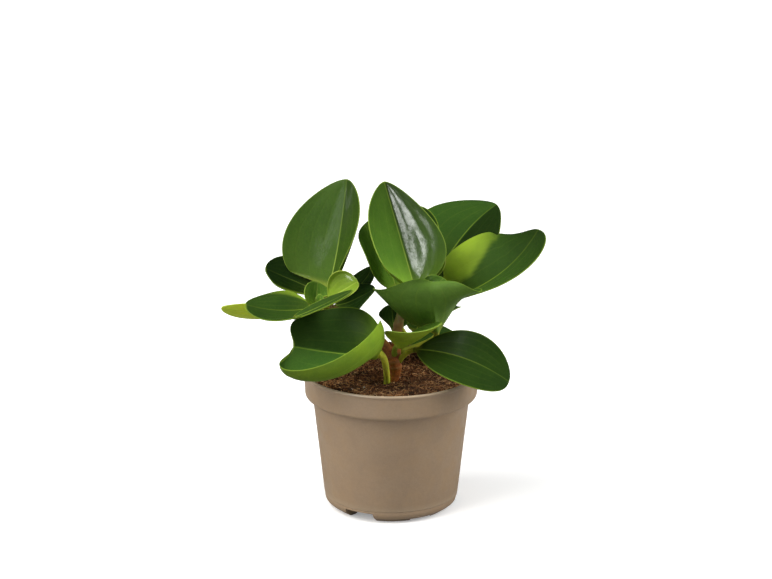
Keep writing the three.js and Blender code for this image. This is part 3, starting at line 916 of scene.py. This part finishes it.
def scatter_tree(name, kind, material):
    """Tree that strews one kind of loose bit over a surface, closer in clumps"""
    made = Scatter(name, {"Density": kind["density"], "Size": kind["size"], "Seed": kind["seed"]})
    entry = made.entry
    spot = made.add("GeometryNodeInputPosition")
    clump = made.add("ShaderNodeTexNoise", {
        "Vector": spot, "Scale": 1 / (CLUMP_SIZE * MM), "Detail": 1.0,
    })
    clump = made.add("ShaderNodeMapRange", {
        "Value": clump, "From Min": 0.38, "From Max": 0.6, "To Min": 0.15, "To Max": 1.5,
    })
    spots = made.add("GeometryNodeDistributePointsOnFaces", {
        "Mesh": entry["Geometry"], "Density": made.times(clump, entry["Density"]),
        "Seed": entry["Seed"],
    }, distribute_method="RANDOM")
    sized = made.random(kind["low"], kind["high"], SIZE_SEED)
    turn = made.random(tuple(-a for a in kind["turn"]), kind["turn"], TURN_SEED)
    bits = made.add("GeometryNodeInstanceOnPoints", {
        "Points": spots, "Instance": kind["bit"](made),
        "Rotation": made.add("FunctionNodeEulerToRotation", {0: turn}),
        "Scale": made.scaled(sized, entry["Size"]),
    })
    tinted = made.add("GeometryNodeStoreNamedAttribute", {
        "Geometry": bits, "Name": "tint", "Value": made.random(0.0, 1.0, TINT_SEED),
    }, data_type="FLOAT", domain="INSTANCE")
    real = made.add("GeometryNodeRealizeInstances", {"Geometry": tinted})
    reach, size = kind["bend"]
    shake = made.add("ShaderNodeTexNoise", {
        "Vector": spot, "Scale": 1 / (size * MM), "Detail": 1.0,
    }, output=1)
    shake = made.add("ShaderNodeVectorMath", {0: shake, 1: (0.5, 0.5, 0.5)}, operation="SUBTRACT")
    bent = made.add("GeometryNodeSetPosition", {
        "Geometry": real, "Offset": made.scaled(shake, reach * MM),
    })
    soft = made.add("GeometryNodeSetShadeSmooth", {"Geometry": bent})
    done = made.add("GeometryNodeSetMaterial", {"Geometry": soft, "Material": material})
    made.feed(made.leave, {"Geometry": done})
    return made


def make_loose_soil(materials):
    """Crumbs, fibres, husk splinters and a few white grains on top of the soil"""
    for name, kind in LOOSE_SOIL.items():
        material = materials[kind["material"]]
        top = soil_top(name, kind["radius"])
        finished(scatter_tree(name, kind, material).run_on(top, material), [])


# Stems: the first shoot leans to the left and the second stands on it, at the right

FIRST_SHOOT = [(0.5, -6, 78), (1, -6, 88), (3, -6, 98), (2, -6, 105), (-2, -5, 112),
               (-8, -4, 119), (-20, -4, 128), (-33, -6, 137), (-42, -7.5, 143), (-46, -8, 149)]
FIRST_SHOOT_RADII = [3.2, 3.6, 3.9, 3.8, 3.4, 3.1, 2.9, 2.8, 2.6, 1.8]
SECOND_SHOOT = [(3, -5.5, 104), (3.6, -3, 113), (4.6, 1, 125), (7, 2, 136), (10, 3, 145),
                (14, 3, 154)]
SECOND_SHOOT_RADII = [3.2, 3.4, 3.2, 3, 2.8, 1.8]
SHOOTS = ((FIRST_SHOOT, FIRST_SHOOT_RADII), (SECOND_SHOOT, SECOND_SHOOT_RADII))
SHOOT_PHASES = (0.4, 2.2)
STEM_SIDES = 40
STEM_ROWS = 220
BUD_LENGTH = 2.0
# A leaf swells the shoot where its joint lies this near the middle line
JOINT_REACH = 6.0
# Heights from which the bark turns green and at which it is quite green
GREEN_FROM, GREEN_AT = 108.0, 134.0


def shoot_line(points, radii):
    """Middle line, radius and share of the way along a shoot, closely spaced"""
    t = np.linspace(0, 1, STEM_ROWS)
    return smooth_line(points, t), np.interp(t * (len(radii) - 1), range(len(radii)), radii), t


def make_shoot(points, radii, joints, phase):
    """Points, faces and marks of one shoot, swollen and ringed where leaves leave it"""
    middle, radius, t = shoot_line(points, radii)
    along = unit(np.gradient(middle, axis=0))
    node = np.zeros(len(t))
    for joint in joints:
        gap = np.linalg.norm(middle - joint, axis=1)
        if gap.min() < JOINT_REACH:
            span = np.linalg.norm(middle - middle[gap.argmin()], axis=1)
            ring = np.exp(-span**2)
            radius = radius + 0.22 * np.exp(-(span / 2.2) ** 2) + 0.14 * ring
            node = np.maximum(node, ring)
    side = np.array([0.0, 1.0, 0.0])
    turns = round_turns(STEM_SIDES)
    rings = []
    for i, share in enumerate(t):
        side = without(side, along[i])
        ridges = 1 + 0.035 * np.sin(3 * turns + phase + 4 * share)
        ridges = ridges + 0.02 * np.sin(7 * turns - 9 * share)
        ridges = ridges + 0.018 * np.sin(share * 210 + 2 * np.sin(turns + phase))
        ring = tilted_ring(turns, side, np.cross(along[i], side))
        rings.append(middle[i] + (radius[i] * ridges)[:, None] * ring)
    end = middle[-1] + along[-1] * BUD_LENGTH
    points = np.vstack([*rings, middle[:1], end[None]])
    faces = loft_faces(len(rings), STEM_SIDES, len(points) - 2, len(points) - 1)
    marks = {
        "young": smooth(GREEN_FROM, GREEN_AT, points[:, 2]),
        "node": np.append(np.repeat(node, STEM_SIDES), [0, 0]),
    }
    return points, faces, marks


def make_stems(material):
    joints = [leaf["joint"] for leaf in LEAVES.values()]
    skins = [
        make_shoot(points, radii, joints, phase)
        for (points, radii), phase in zip(SHOOTS, SHOOT_PHASES)
    ]
    points, faces, marks = joined(skins)
    finished(mesh_object("woody_stems", points, faces, material, marks), ["stems"])


def outside_stems(points, depth):
    """Which of the points lie further out than depth under the bark"""
    clear = np.ones(len(points), bool)
    for line, radii in SHOOTS:
        middle, radius, _ = shoot_line(line, radii)
        gap = np.linalg.norm(points[:, None] - middle[None], axis=2) - radius[None] + depth
        clear &= gap.min(1) > 0
    return clear


# Leaves: a petiole that carries on as the midrib of a fleshy blade. First of each leaf, in this
# order:
#   joint, base, mid, tip   where the petiole starts, the blade starts, its middle, its end
#   face                    the way that the upper side looks at the middle
#   width                   across the blade at its widest
# Then what differs from LEAF_DEFAULTS:
#   fold, fade              degrees that each half rises at the midrib, at base and tip, and how
#                           fast it goes from the one to the other
#   cup, curl               further degrees out to the left and right edge, even and at the rim
#   twist, lean             turn of the blade along its length, share by which the right is wider
#   widest, shoulder, crown place of the widest part, fullness at the base and at the tip
#   right_shoulder          fullness at the base of the right half, where it differs
#   notch                   depth of the small cleft at the tip
#   stalk                   radius of the petiole
#   finish                  which of the leaf materials it has
#    tone                    painted light and shade: how light the left half, right half,
#                            underside and petiole are painted, for how they lie in light or shade
#    fall                    painted shade: share by which the blade is painted darker from its
#                            foot to its tip
#    flush      yellow-green left in the left and right half, where it starts, and
#                            how fast its boundary runs out to the edge: partly young tissue and
#                            partly a painted lit zone
#    glow, wax               yellow-green at the blade's foot, partly painted light, strength of
#                            the clear waxy coat, which at 1 lies in the waxy zones
#    crease  how pale the midrib is painted at its foot and from its middle on:
#                            its own pale colour, and where strong, a painted highlight along it
#   swell, ridges           height in mm and number of the soft ridges on each half
#   ridge_bow               how far the ridges stray sideways, in radians of one ridge
#   hook, flare             how far the petiole bows before the blade, and widens there in mm
#   dent                    place along the left edge and depth of a shallow dent
#   extra                   a smaller blade that belongs to the leaf: a bud or a lobe of its base

LEAF_DEFAULTS = {
    "fold": (12, 0), "fade": 1, "cup": (20, 20), "curl": (0, 0), "twist": 0, "lean": 0,
    "widest": 1.1, "shoulder": 0.7, "crown": 0.5, "notch": 0, "stalk": 1.8, "finish": "mature",
    "tone": (1, 1, 1, 1), "fall": 0.2, "flush": (0, 0, 0.5, 1), "glow": 0.1, "wax": 0.06,
    "swell": 0.03, "ridges": 4, "ridge_bow": 0.7, "dent": (0.5, 0), "hook": 0.45, "flare": 0,
    "crease": (0.35, 0.06), "extra": None,
}


def leaf_of(joint, base, mid, tip, face, width, **values):
    """A leaf with every value in place, its points as arrays, its midrib's bend and length"""
    joint, base, mid, tip, face = (np.array(p, float) for p in (joint, base, mid, tip, face))
    return {
        **LEAF_DEFAULTS, "joint": joint, "base": base, "tip": tip, "face": face, "width": width,
        "bend": 2 * mid - (base + tip) / 2, "length": np.linalg.norm(tip - base),
        "right_shoulder": values.get("shoulder", LEAF_DEFAULTS["shoulder"]), **values,
    }


LEAVES = {
    "leaf_left_top": leaf_of(
        (-45.3, -8, 148.5), (-42, 1.6, 152.8), (-35, 9, 187.5), (-30, 20, 225.5),
        (-0.43, -0.75, 0.48), 62, fold=(15, -5), cup=(24, 73), curl=(-5, 16), twist=39, lean=-0.27,
        widest=0.66, shoulder=0.29, right_shoulder=0.72, crown=0.59, finish="fresh",
        tone=(0.8, 0.5, 1, 1), fall=0.3, glow=0.05, crease=(1, 0.1),
    ),
    "leaf_left_back": leaf_of(
        (-43, -7.6, 144.1), (-47.5, 3.2, 149), (-69, 14, 156), (-86, 15, 163), (0.1, -0.38, 0.92),
        38, fold=(5, 5), cup=(25, 25), widest=1.14, shoulder=0.55, stalk=1.5, finish="in_shade",
        tone=(0.5, 0.5, 1, 1), flush=(0.8, 0, 0.78, 0),
    ),
    "leaf_left_front": leaf_of(
        (-41, -7.3, 142), (-52, -15, 145), (-73, -20, 144), (-98, -26, 150), (0, -0.32, 0.95), 43,
        fold=(18, -2), cup=(26, 26), twist=-8, lean=-0.18, widest=0.88, shoulder=0.8, stalk=1.5,
        tone=(0.75, 0.85, 1, 1), flush=(0, 0.9, 0.7, 0.3),
        extra=leaf_of(
            (-69, -33.4, 142.3), (-67, -34.2, 142.9), (-46, -41, 154), (-25.5, -43, 165.5),
            (-0.25, -0.35, 0.9), 11, fold=(10, 5), cup=(25, 25), widest=0.95, shoulder=0.5,
            stalk=0.4, tone=(0.8, 0.8, 1, 0.5), glow=0,
        ),
    ),
    "leaf_left_low": leaf_of(
        (-37, -6.5, 139), (-60, -2, 138), (-89, 1, 135), (-116, 6, 138), (0.33, 0.59, 0.73), 28,
        fold=(14, -4), cup=(17, 17), twist=8, lean=0.06, widest=1.14, shoulder=0.8, stalk=1.5,
        finish="young", tone=(1.15, 1.15, 1.7, 1),
    ),
    "young_left_cup": leaf_of(
        (-46, -8, 149), (-49, -14, 149), (-50.5, -13, 153), (-50, -8, 161), (0.45, -0.87, 0.15),
        25, fold=(12, 5), cup=(30, 30), shoulder=0.78, stalk=1.1, finish="fresh",
        tone=(1.2, 1.5, 1.5, 1), glow=0.35, wax=0.3, flush=(0.3, 0.6, 0.6, 0),
        extra=leaf_of(
            (-48.5, -14.5, 147), (-48.4, -15.2, 148), (-48.2, -16.6, 151), (-47.8, -15.6, 154.8),
            (0.1, -0.95, 0.2), 6.5, cup=(35, 35), shoulder=0.6, stalk=0.7, finish="young",
            tone=(1.9, 1.9, 1.7, 1.5), glow=0.6,
        ),
    ),
    "young_left_bright": leaf_of(
        (-43.8, -7.7, 146.8), (-43, -17, 150), (-32, -25, 160), (-22, -27, 166.5),
        (-0.32, -0.51, 0.8), 30, fold=(19, 11), cup=(54, 18), curl=(27, 0), twist=-5, widest=1.05,
        shoulder=0.58, stalk=1.1, finish="young", tone=(1.15, 1.3, 1.3, 1), wax=0.6, swell=0.05,
    ),
    "young_left_behind": leaf_of(
        (-42, -7.5, 143), (-38, 14, 142.5), (-23, 20, 148.5), (-12, 23, 162.5),
        (-0.07, -0.31, 0.95), 20, fold=(8, 5), cup=(15, 15), widest=1.16, shoulder=0.8, stalk=1.1,
        finish="in_shade",
    ),
    "leaf_left_inner": leaf_of(
        (-38.5, -6.9, 140.6), (-38, -2, 142), (-26, 2, 144.5), (-11, 0, 153.5),
        (-0.14, -0.36, 0.92), 32, fold=(7, 6), cup=(9, 9), twist=-16, lean=0.07, widest=1.13,
        shoulder=0.8, stalk=1.3, finish="in_shade", tone=(1.4, 1.4, 1, 1),
    ),
    "leaf_right_top": leaf_of(
        (13.5, 3, 152), (16, -8, 155), (9, 6, 177), (-5, 23, 223), (0.28, -0.9, 0.28), 74,
        fold=(32, 31), cup=(28, 8), curl=(5, -10), twist=-10, lean=-0.2, widest=0.97,
        shoulder=0.26, right_shoulder=0.8, crown=0.67, finish="waxy", tone=(1.3, 0.7, 1, 1),
        fall=1.1, glow=0.3, wax=1, swell=0.05, ridges=2.8, ridge_bow=2.4, crease=(0.9, 0.7),
    ),
    "leaf_right_left": leaf_of(
        (11, 3, 148), (4, 10.5, 149), (-7, 14, 177), (-19, 17, 194), (0.21, -0.62, 0.76), 48,
        fold=(11, 8), cup=(45, 45), twist=4, lean=-0.1, widest=1.09, finish="fresh",
        tone=(2, 2, 1, 1),
    ),
    "leaf_right_back": leaf_of(
        (9, 2.9, 142), (27, 33, 145), (50, 53.5, 175.5), (74, 65, 195), (-0.31, -0.59, 0.74), 66,
        fold=(15, -6), cup=(3, 3), twist=-45, lean=-0.12, widest=1.06, shoulder=0.72,
        tone=(1, 0.4, 1, 1),
    ),
    "leaf_right_bright": leaf_of(
        (12.2, 3, 150.5), (21, 9, 156), (26, 14, 168), (28, 20, 180), (-0.1, -0.9, 0.4), 24,
        fold=(8, 4), stalk=1.1, finish="young",
    ),
    "leaf_right_long": leaf_of(
        (7.2, 2.1, 136.5), (37, 25.5, 136.5), (74, -0.5, 164.5), (100, 3.5, 194.5),
        (-0.39, -0.49, 0.77), 65, fold=(48, -11), cup=(-2, 32), curl=(-45, -1), twist=-9,
        lean=-0.22, widest=0.82, shoulder=0.24, right_shoulder=0.91, crown=0.45,
        tone=(0.9, 0.95, 1, 1), fall=1.2, flush=(1, 0, 0.2, 1.2), dent=(0.63, 3),
    ),
    "leaf_right_front": leaf_of(
        (3.3, -4, 109), (31, -7, 124.3), (27.5, -39, 154.3), (26.5, -42, 171.3),
        (-0.04, 0.78, 0.62), 77, fold=(30, -25), cup=(36, 36), twist=-31, lean=0.1, widest=1.25,
        shoulder=0.3, finish="cool", tone=(1, 1, 1.05, 1),
    ),
    "young_right": leaf_of(
        (11.2, 3, 148), (25.5, -6.5, 149.5), (29.5, -14.5, 158.5), (35.5, -13, 165),
        (-0.2, -0.7, 0.6), 20, fold=(10, 5), stalk=1.1, finish="fresh",
    ),
    "leaf_middle_cup": leaf_of(
        (2.8, -6, 104), (4.5, -15, 117.8), (18.5, -33.5, 129.8), (33, -45, 142.8), (0, -0.06, 1),
        36, fold=(45, 5), cup=(4, 4), twist=4, lean=0.2, widest=0.93, shoulder=0.4, finish="fresh",
        tone=(1.1, 1.1, 1.6, 1),
    ),
    "leaf_middle_small": leaf_of(
        (4.2, -0.5, 121), (1.5, 6, 123), (1, 13, 128), (0, 18, 137), (0.37, -0.91, 0.19), 25,
        fold=(10, 6), cup=(24, 24), widest=1.13, shoulder=0.75, stalk=1.3, finish="in_shade",
    ),
    "leaf_front_left": leaf_of(
        (-3, -9, 80), (-8.5, -25, 115), (-32, -31, 117), (-75, -31, 124), (-0.12, -0.66, 0.73), 82,
        fold=(76, -11), fade=2, cup=(67, 17), curl=(70, 5), twist=-15, lean=-0.2, widest=1.07,
        shoulder=0.2, crown=0.3, notch=6, stalk=2.2, tone=(2.1, 0.95, 1.25, 2.2), fall=0.8,
        glow=0.3, wax=0, hook=0.2, flare=0.6,
    ),
    "leaf_front_right": leaf_of(
        (2.9, -6, 100), (16, -15, 115), (48, -39, 117), (79, -39, 100), (0.17, -0.79, 0.59), 42,
        fold=(17, 8), cup=(14, 14), twist=-10, lean=0.07, widest=1.21, shoulder=0.72,
        tone=(0.6, 0.55, 1, 1), fall=-0.2, wax=0.02,
    ),
    "leaf_back_left": leaf_of(
        (2, -6, 104), (-8, 12, 106), (-28, 31, 111), (-50, 48, 108), (0.1, -0.1, 0.98), 44,
        stalk=1.6,
    ),
    "leaf_back_middle": leaf_of(
        (5, 1.2, 128), (16, 14, 117), (28, 36, 126), (42, 54, 126), (-0.2, -0.3, 0.93), 42,
        stalk=1.6,
    ),
    "leaf_back_right": leaf_of(
        (3, -6, 100), (14, 12, 106), (34, 28, 108), (56, 44, 100), (0, -0.2, 0.98), 40, stalk=1.6,
    ),
    "leaf_back_top": leaf_of(
        (13.8, 3, 153.5), (11.5, 16, 158), (17, 35, 178), (15, 44, 200), (-0.2, -0.8, 0.5), 38,
        cup=(30, 30), stalk=1.6, tone=(0.8, 0.8, 1, 1),
    ),
}

# Waxy zones of a leaf whose wax is 1: at places along it, their middle and half width across its
# right half, as shares of that half, and how waxy each is
WAX_PLACES = (0.0, 0.2, 0.3, 0.42, 0.54, 0.66, 0.78, 0.9, 1.0)
WAX_ZONES = (
    ((0.1, 0.16, 0.2, 0.28, 0.38, 0.41, 0.46, 0.44, 0.4),
     (0.09, 0.14, 0.18, 0.21, 0.2, 0.13, 0.11, 0.07, 0.03), 1.0),
    ((0.06, 0.08, 0.1, 0.08, 0.08, 0.12, 0.14, 0.19, 0.2),
     (0.01, 0.02, 0.02, 0.03, 0.06, 0.12, 0.12, 0.1, 0.04), 0.85),
    ((0.55, 0.62, 0.68, 0.74, 0.8, 0.8, 0.72, 0.66, 0.6),
     (0.01, 0.03, 0.06, 0.08, 0.08, 0.07, 0.05, 0.02, 0.01), 0.4),
)
LITTLE_WAX = 0.03

BLADE_THICKNESS = 1.5
EDGE_THICKNESS = 0.7
EDGE_ROUNDING = 0.45
BLADE_ROWS = 84
PETIOLE_ROWS = 18
PETIOLE_TRIALS = 200
# Where the lines along the blade lie, from the midrib (0) to the edge (1)
COLUMNS = (0.0, 0.015, 0.035, 0.065, 0.11, 0.17, 0.23, 0.29, 0.35, 0.41, 0.47, 0.53, 0.59, 0.65,
           0.71, 0.77, 0.83, 0.88, 0.92, 0.95, 0.97, 0.983, 0.992, 0.998, 1.0)
# Steps in which a half is bent from the midrib to its edge
SLOPE_STEPS = 10
# Half length of a dent and half width of a cleft, as shares of the leaf's length and width
DENT_REACH = 0.05
CLEFT_REACH = 0.16
# Between one leaf's waves and the next leaf's
PHASE_STEP = 1.7
# How deep under the bark a petiole starts, and the distance in mm that stands for no edge near
PETIOLE_SINK = 0.7
NO_EDGE = 9.0


def frame_at(leaf, t):
    """Along the midrib, up out of the upper side, and across to the right, at t of its length"""
    along = bezier_tangent(leaf["base"], leaf["bend"], leaf["tip"], t)
    up = without(leaf["face"], along)
    across = np.cross(along, up)
    turn = np.radians(leaf["twist"]) * (np.asarray(t, float)[..., None] - 0.5)
    turned_up = up * np.cos(turn) + across * np.sin(turn)
    return along, turned_up, across * np.cos(turn) - up * np.sin(turn)


def half_width(leaf, t, right):
    place, depth = leaf["dent"]
    dent = np.where(right, 0, depth) * np.exp(-((t - place) / DENT_REACH) ** 2)
    shoulder = np.where(right, leaf["right_shoulder"], leaf["shoulder"])
    fullness = shoulder + (leaf["crown"] - shoulder) * t
    outline = np.maximum(np.sin(np.pi * np.clip(t, 0, 1) ** leaf["widest"]), 0) ** fullness
    share = np.where(right, 1 + leaf["lean"], 1 - leaf["lean"])
    return leaf["width"] / 2 * outline * share - dent


def skin_at(leaf, t, v):
    """Middle of the blade at t of its length and v of its half width: point, normal, half width"""
    right = v > 0
    reach = np.abs(v)
    half = half_width(leaf, t, right)
    width = leaf["width"]
    cleft = np.exp(-(half * reach / (CLEFT_REACH * width)) ** 2) * smooth(0.75, 1, t)
    place = t - leaf["notch"] / leaf["length"] * cleft
    _, up, across = frame_at(leaf, place)
    fold = leaf["fold"][1] + (leaf["fold"][0] - leaf["fold"][1]) * (1 - t) ** leaf["fade"]
    cup = np.where(right, leaf["cup"][1], leaf["cup"][0]) * half / (width / 2)
    curl = np.where(right, leaf["curl"][1], leaf["curl"][0])

    def slope_at(x):
        return np.radians(fold * np.minimum(1, x * half / 2) + cup * x + curl * smooth(0.5, 1, x))

    out = rise = 0
    for i in range(SLOPE_STEPS):
        slope = slope_at(reach * (i + 0.5) / SLOPE_STEPS)
        out = out + np.cos(slope) * reach * half / SLOPE_STEPS
        rise = rise + np.sin(slope) * reach * half / SLOPE_STEPS
    slope = slope_at(reach)[..., None]
    side = np.sign(v)[..., None]
    rib = bezier(leaf["base"], leaf["bend"], leaf["tip"], place)
    point = rib + side * out[..., None] * across + rise[..., None] * up
    return point, up * np.cos(slope) - across * side * np.sin(slope), half


def relief(leaf, t, v, half, phase):
    """How far the fleshy skin swells between its veins, and sinks along them"""
    reach = np.abs(v)
    ends = smooth(0.02, 0.2, t) * smooth(1.0, 0.8, t)
    bow = leaf["ridge_bow"] * np.sin(3 * t + phase)
    swell = leaf["swell"] * np.cos(2 * np.pi * reach * leaf["ridges"] + np.pi + bow) * ends
    waves = 0.22 * np.sin(5.1 * t + 3.3 * v + phase) * np.sin(6.7 * v - 2.9 * t + 2 * phase)
    waves = waves + leaf["swell"] * 0.3 * np.sin(19 * t + 7 * v) * np.sin(15 * v - 11 * t + phase)
    rib = -0.18 * np.exp(-(reach * half / 0.7) ** 2) * smooth(1.0, 0.5, t)
    return swell * smooth(3, 14, half), waves * ends, rib


def waxiness(leaf, t, v):
    """How waxy the skin is: evenly, or in long zones on the right half of a glossy leaf"""
    if leaf["wax"] < 1:
        return np.full(t.shape, leaf["wax"])
    wax = LITTLE_WAX
    for middle, spread, strength in WAX_ZONES:
        off = np.abs(v - np.interp(t, WAX_PLACES, middle)) / np.interp(t, WAX_PLACES, spread)
        wax = np.maximum(wax, strength * smooth(1.3, 0.7, off))
    return wax


def flush_and_tone(leaf, t, v, is_upper):
    """How yellow-green the blade is, partly as a painted lit zone, and how light it is painted, as
    painted light and shade, at t of its length and v of its half width
    """
    reach = np.abs(v)
    left, right, start, slant = leaf["flush"]
    start = start + slant * np.maximum(t - 0.25, 0)
    side = smooth(0, 0.05, v)
    zone = (left + (right - left) * side) * smooth(0, 0.14, reach - start) * smooth(0.85, 0.2, t)
    flush = np.maximum(zone, leaf["glow"] * smooth(0.55, 0, t))
    # Painted light and shade: the halves and the underside are painted lighter or darker as they
    # lie in light or shade, and the blade changes from its foot to its tip by fall
    left, right, under, _ = leaf["tone"]
    tone = under + (left + (right - left) * side - under) * is_upper
    return flush, tone * (1 + leaf["fall"] * (0.5 - t))


def ring_layout():
    """For each point of a ring: place across the blade, 1 on its upper side, angle on a petiole"""
    upper_v = np.array([-c for c in COLUMNS[:0:-1]] + list(COLUMNS))
    lower_v = upper_v[-2:0:-1]
    is_upper = np.append(np.ones(len(upper_v)), np.zeros(len(lower_v)))
    is_upper[[0, len(upper_v) - 1]] = 0.5
    over = np.pi * (1 - np.arange(len(upper_v)) / (len(upper_v) - 1))
    under = -np.pi * np.arange(1, len(lower_v) + 1) / (len(lower_v) + 1)
    return np.append(upper_v, lower_v), is_upper, np.append(over, under)


def blade_rings(leaf, v, is_upper, turns, phase):
    """Rings of the fleshy blade, with the round petiole carried on into it, and their places"""
    t = (1 - np.cos(np.pi * np.arange(1, BLADE_ROWS) / BLADE_ROWS)) / 2
    T, V = np.meshgrid(t, v, indexing="ij")
    point, normal, half = skin_at(leaf, T, V)
    reach = np.abs(V)
    edge = 1 / np.sqrt(1 / (half * (1 - reach) + 1e-6) ** 2 + 1 / ((1 - T) * leaf["length"]) ** 2)
    thickness = EDGE_THICKNESS + (BLADE_THICKNESS - EDGE_THICKNESS) * (1 - V**2)
    rounding = np.sqrt(1 - (1 - np.minimum(edge / EDGE_ROUNDING, 1)) ** 2)
    swell, waves, rib = relief(leaf, T, V, half, phase)
    keel = (2 * leaf["stalk"] - BLADE_THICKNESS) * (1 - T) ** 2 * np.exp(-(reach * half / 1.6) ** 2)
    keel = keel + 0.35 * np.exp(-(reach * half / 0.8) ** 2) * (1 - T)
    inner = smooth(0, 3, edge)
    over = thickness / 2 * rounding + (swell + rib) * inner
    under = -thickness / 2 * rounding - keel + swell * 0.5 * inner
    section = point + normal * (np.where(is_upper > 0.25, over, under) + waves * inner)[..., None]
    _, up, across = frame_at(leaf, t)
    middle = bezier(leaf["base"], leaf["bend"], leaf["tip"], t)
    radius = leaf["stalk"] + leaf["flare"]
    round_ring = middle[:, None] + radius * tilted_ring(turns, across, up)
    blend = smooth(0.0, 0.07, T)[..., None]
    return round_ring * (1 - blend) + section * blend, T, V, half, edge


def petiole_rings(leaf, turns):
    """Rings of the petiole, from a slightly swollen foot in the bark to the blade"""
    joint, base = leaf["joint"], leaf["base"]
    run = np.linalg.norm(joint - base)
    bend = base - bezier_tangent(base, leaf["bend"], leaf["tip"], 0.0) * leaf["hook"] * run
    s = np.linspace(0, 1, PETIOLE_TRIALS)
    first = s[int(np.argmax(outside_stems(bezier(joint, bend, base, s), PETIOLE_SINK)))]
    s = first + (1 - first) * np.linspace(0, 1, PETIOLE_ROWS)
    line = bezier(joint, bend, base, s)
    ways = bezier_tangent(joint, bend, base, s)
    _, up, _ = frame_at(leaf, np.array(0.0))
    ups = []
    for way in ways[::-1]:
        up = without(up, way)
        ups.insert(0, up)
    ups = np.array(ups)
    sides = np.cross(ways, ups)
    foot = 1 + 0.22 * np.exp(-(s - first) / (1 - first) * run / 2.5)
    radius = (leaf["stalk"] * foot + leaf["flare"] * smooth(0.3, 1, s))[:, None, None]
    # The upper side is a little flat, but for the last ring, which is the blade's first
    flat = 1 - 0.18 * smooth(0.2, 0.9, s)[:, None, None] * (np.sin(turns) > 0)[None, :, None]
    flat[-1] = 1
    radius[-1] = leaf["stalk"] + leaf["flare"]
    out, rise = np.cos(turns)[None, :, None], np.sin(turns)[None, :, None]
    rings = line[:, None] + radius * (out * sides[:, None] + flat * rise * ups[:, None])
    return rings, line[0]


def leaf_skin(leaf, phase):
    """Points and faces of a petiole and its blade, with the marks that the materials read"""
    v, is_upper, turns = ring_layout()
    blade, T, V, half, edge = blade_rings(leaf, v, is_upper, turns, phase)
    petiole, foot = petiole_rings(leaf, turns)
    end, _, _ = skin_at(leaf, np.array(1.0), np.array(0.0))
    rings = np.vstack([petiole, blade])
    points = np.vstack([rings.reshape(-1, 3), foot[None], end[None]])
    faces = loft_faces(len(rings), len(v), len(points) - 2, len(points) - 1)

    def mark(on_petiole, on_blade, at_foot, at_end):
        plain = np.full(petiole.shape[:2], float(on_petiole))
        return np.concatenate([plain.ravel(), on_blade.ravel(), [at_foot, at_end]])

    flush, tone = flush_and_tone(leaf, T, V, is_upper)
    crease = np.interp(T, (0.1, 0.5), leaf["crease"])
    marks = {
        "flush": mark(0, flush, 0, 0),
        "tone": mark(leaf["tone"][3], tone, 1, tone[-1].mean()),
        "crease": mark(0, crease, 0, 0),
        "wax": mark(LITTLE_WAX, waxiness(leaf, T, V), LITTLE_WAX, LITTLE_WAX),
        "edge": mark(NO_EDGE, edge, NO_EDGE, 0),
        "stalk": mark(1, 1 - smooth(0.0, 0.1, T), 1, 0),
        "upper": np.append(np.tile(is_upper, len(rings)), [0.5, 0.5]),
    }
    # Place across and along the blade, and its half width there, or a petiole's radius
    across = np.append(np.tile(v, len(rings)), [0, 0])
    marks["blade"] = np.stack([across, mark(0, T, 0, 1), mark(leaf["stalk"], half, 1, 0.1)], -1)
    return points, faces, marks


def make_leaf(name, leaf, materials, phase):
    skins = [leaf_skin(leaf, phase)]
    if leaf["extra"]:
        skins.append(leaf_skin(leaf["extra"], phase + 1))
    points, faces, marks = joined(skins)
    return mesh_object(f"{name}_blade", points, faces, materials[leaf["finish"]], marks)


def make_leaves(materials):
    for index, (name, leaf) in enumerate(LEAVES.items()):
        blade = make_leaf(name, leaf, materials, PHASE_STEP * index)
        finished(blade, [name])


# Light and floor

PLANT_MIDDLE = (0.0, 0.0, 140.0)
FLOOR_HALF = 6000.0
WARM, NEUTRAL, COOL = (1.0, 0.985, 0.95), (1.0, 1.0, 1.0), (0.98, 0.99, 1.0)


def soft_box(name, azimuth, elevation, distance, size, power, tint, mirrored=False):
    """A soft light on the plant, which either lights the surfaces or is only mirrored in them"""
    data = bpy.data.lights.new(name, "AREA")
    data.shape = "RECTANGLE"
    data.size, data.size_y = size[0] * MM, size[1] * MM
    data.energy = power
    data.color = tint
    lamp = bpy.data.objects.new(name, data)
    scene.collection.objects.link(lamp)
    lamp.visible_glossy = mirrored
    lamp.visible_diffuse = lamp.visible_transmission = not mirrored
    aim_at(lamp, PLANT_MIDDLE, azimuth, elevation, distance)


def make_light():
    soft_box("left_light", -66, 40, 1600, (1600, 1800), 41.0, WARM)
    soft_box("right_light", 80, 26, 1600, (1000, 1400), 25.0, COOL)
    soft_box("gloss_light", -39, 19, 1600, (420, 900), 31.0, NEUTRAL, mirrored=True)
    soft_box("top_light", 0, 80, 1500, (1500, 1500), 10.0, NEUTRAL)
    world = bpy.data.worlds.new("studio")
    scene.world = world
    world.use_nodes = True
    made = Shading(world.node_tree)
    seen = made.add("ShaderNodeLightPath")
    strength = made.add("ShaderNodeMapRange", {"Value": seen, "To Min": 0.12, "To Max": 1.0})
    background = world.node_tree.nodes["Background"].inputs
    made.feed(background, {"Strength": strength, "Color": color(1, 1, 1)})


def make_floor():
    corners = [(x * FLOOR_HALF, y * FLOOR_HALF, 0) for x, y in ((-1, -1), (1, -1), (1, 1), (-1, 1))]
    floor = mesh_object("floor", corners, [(0, 1, 2, 3)], floor_material())


def main():
    scene.view_settings.view_transform = "Standard"
    make_camera()
    make_light()
    make_floor()
    cloudy = cloudy_effect()
    soils = {name: soil_material(name, cloudy) for name in SOIL_KINDS}
    make_pot(pot_material(cloudy))
    make_soil(soils["coir_soil"])
    make_loose_soil(soils)
    make_stems(stem_material(cloudy))
    make_leaves(leaf_materials(cloudy))


main()
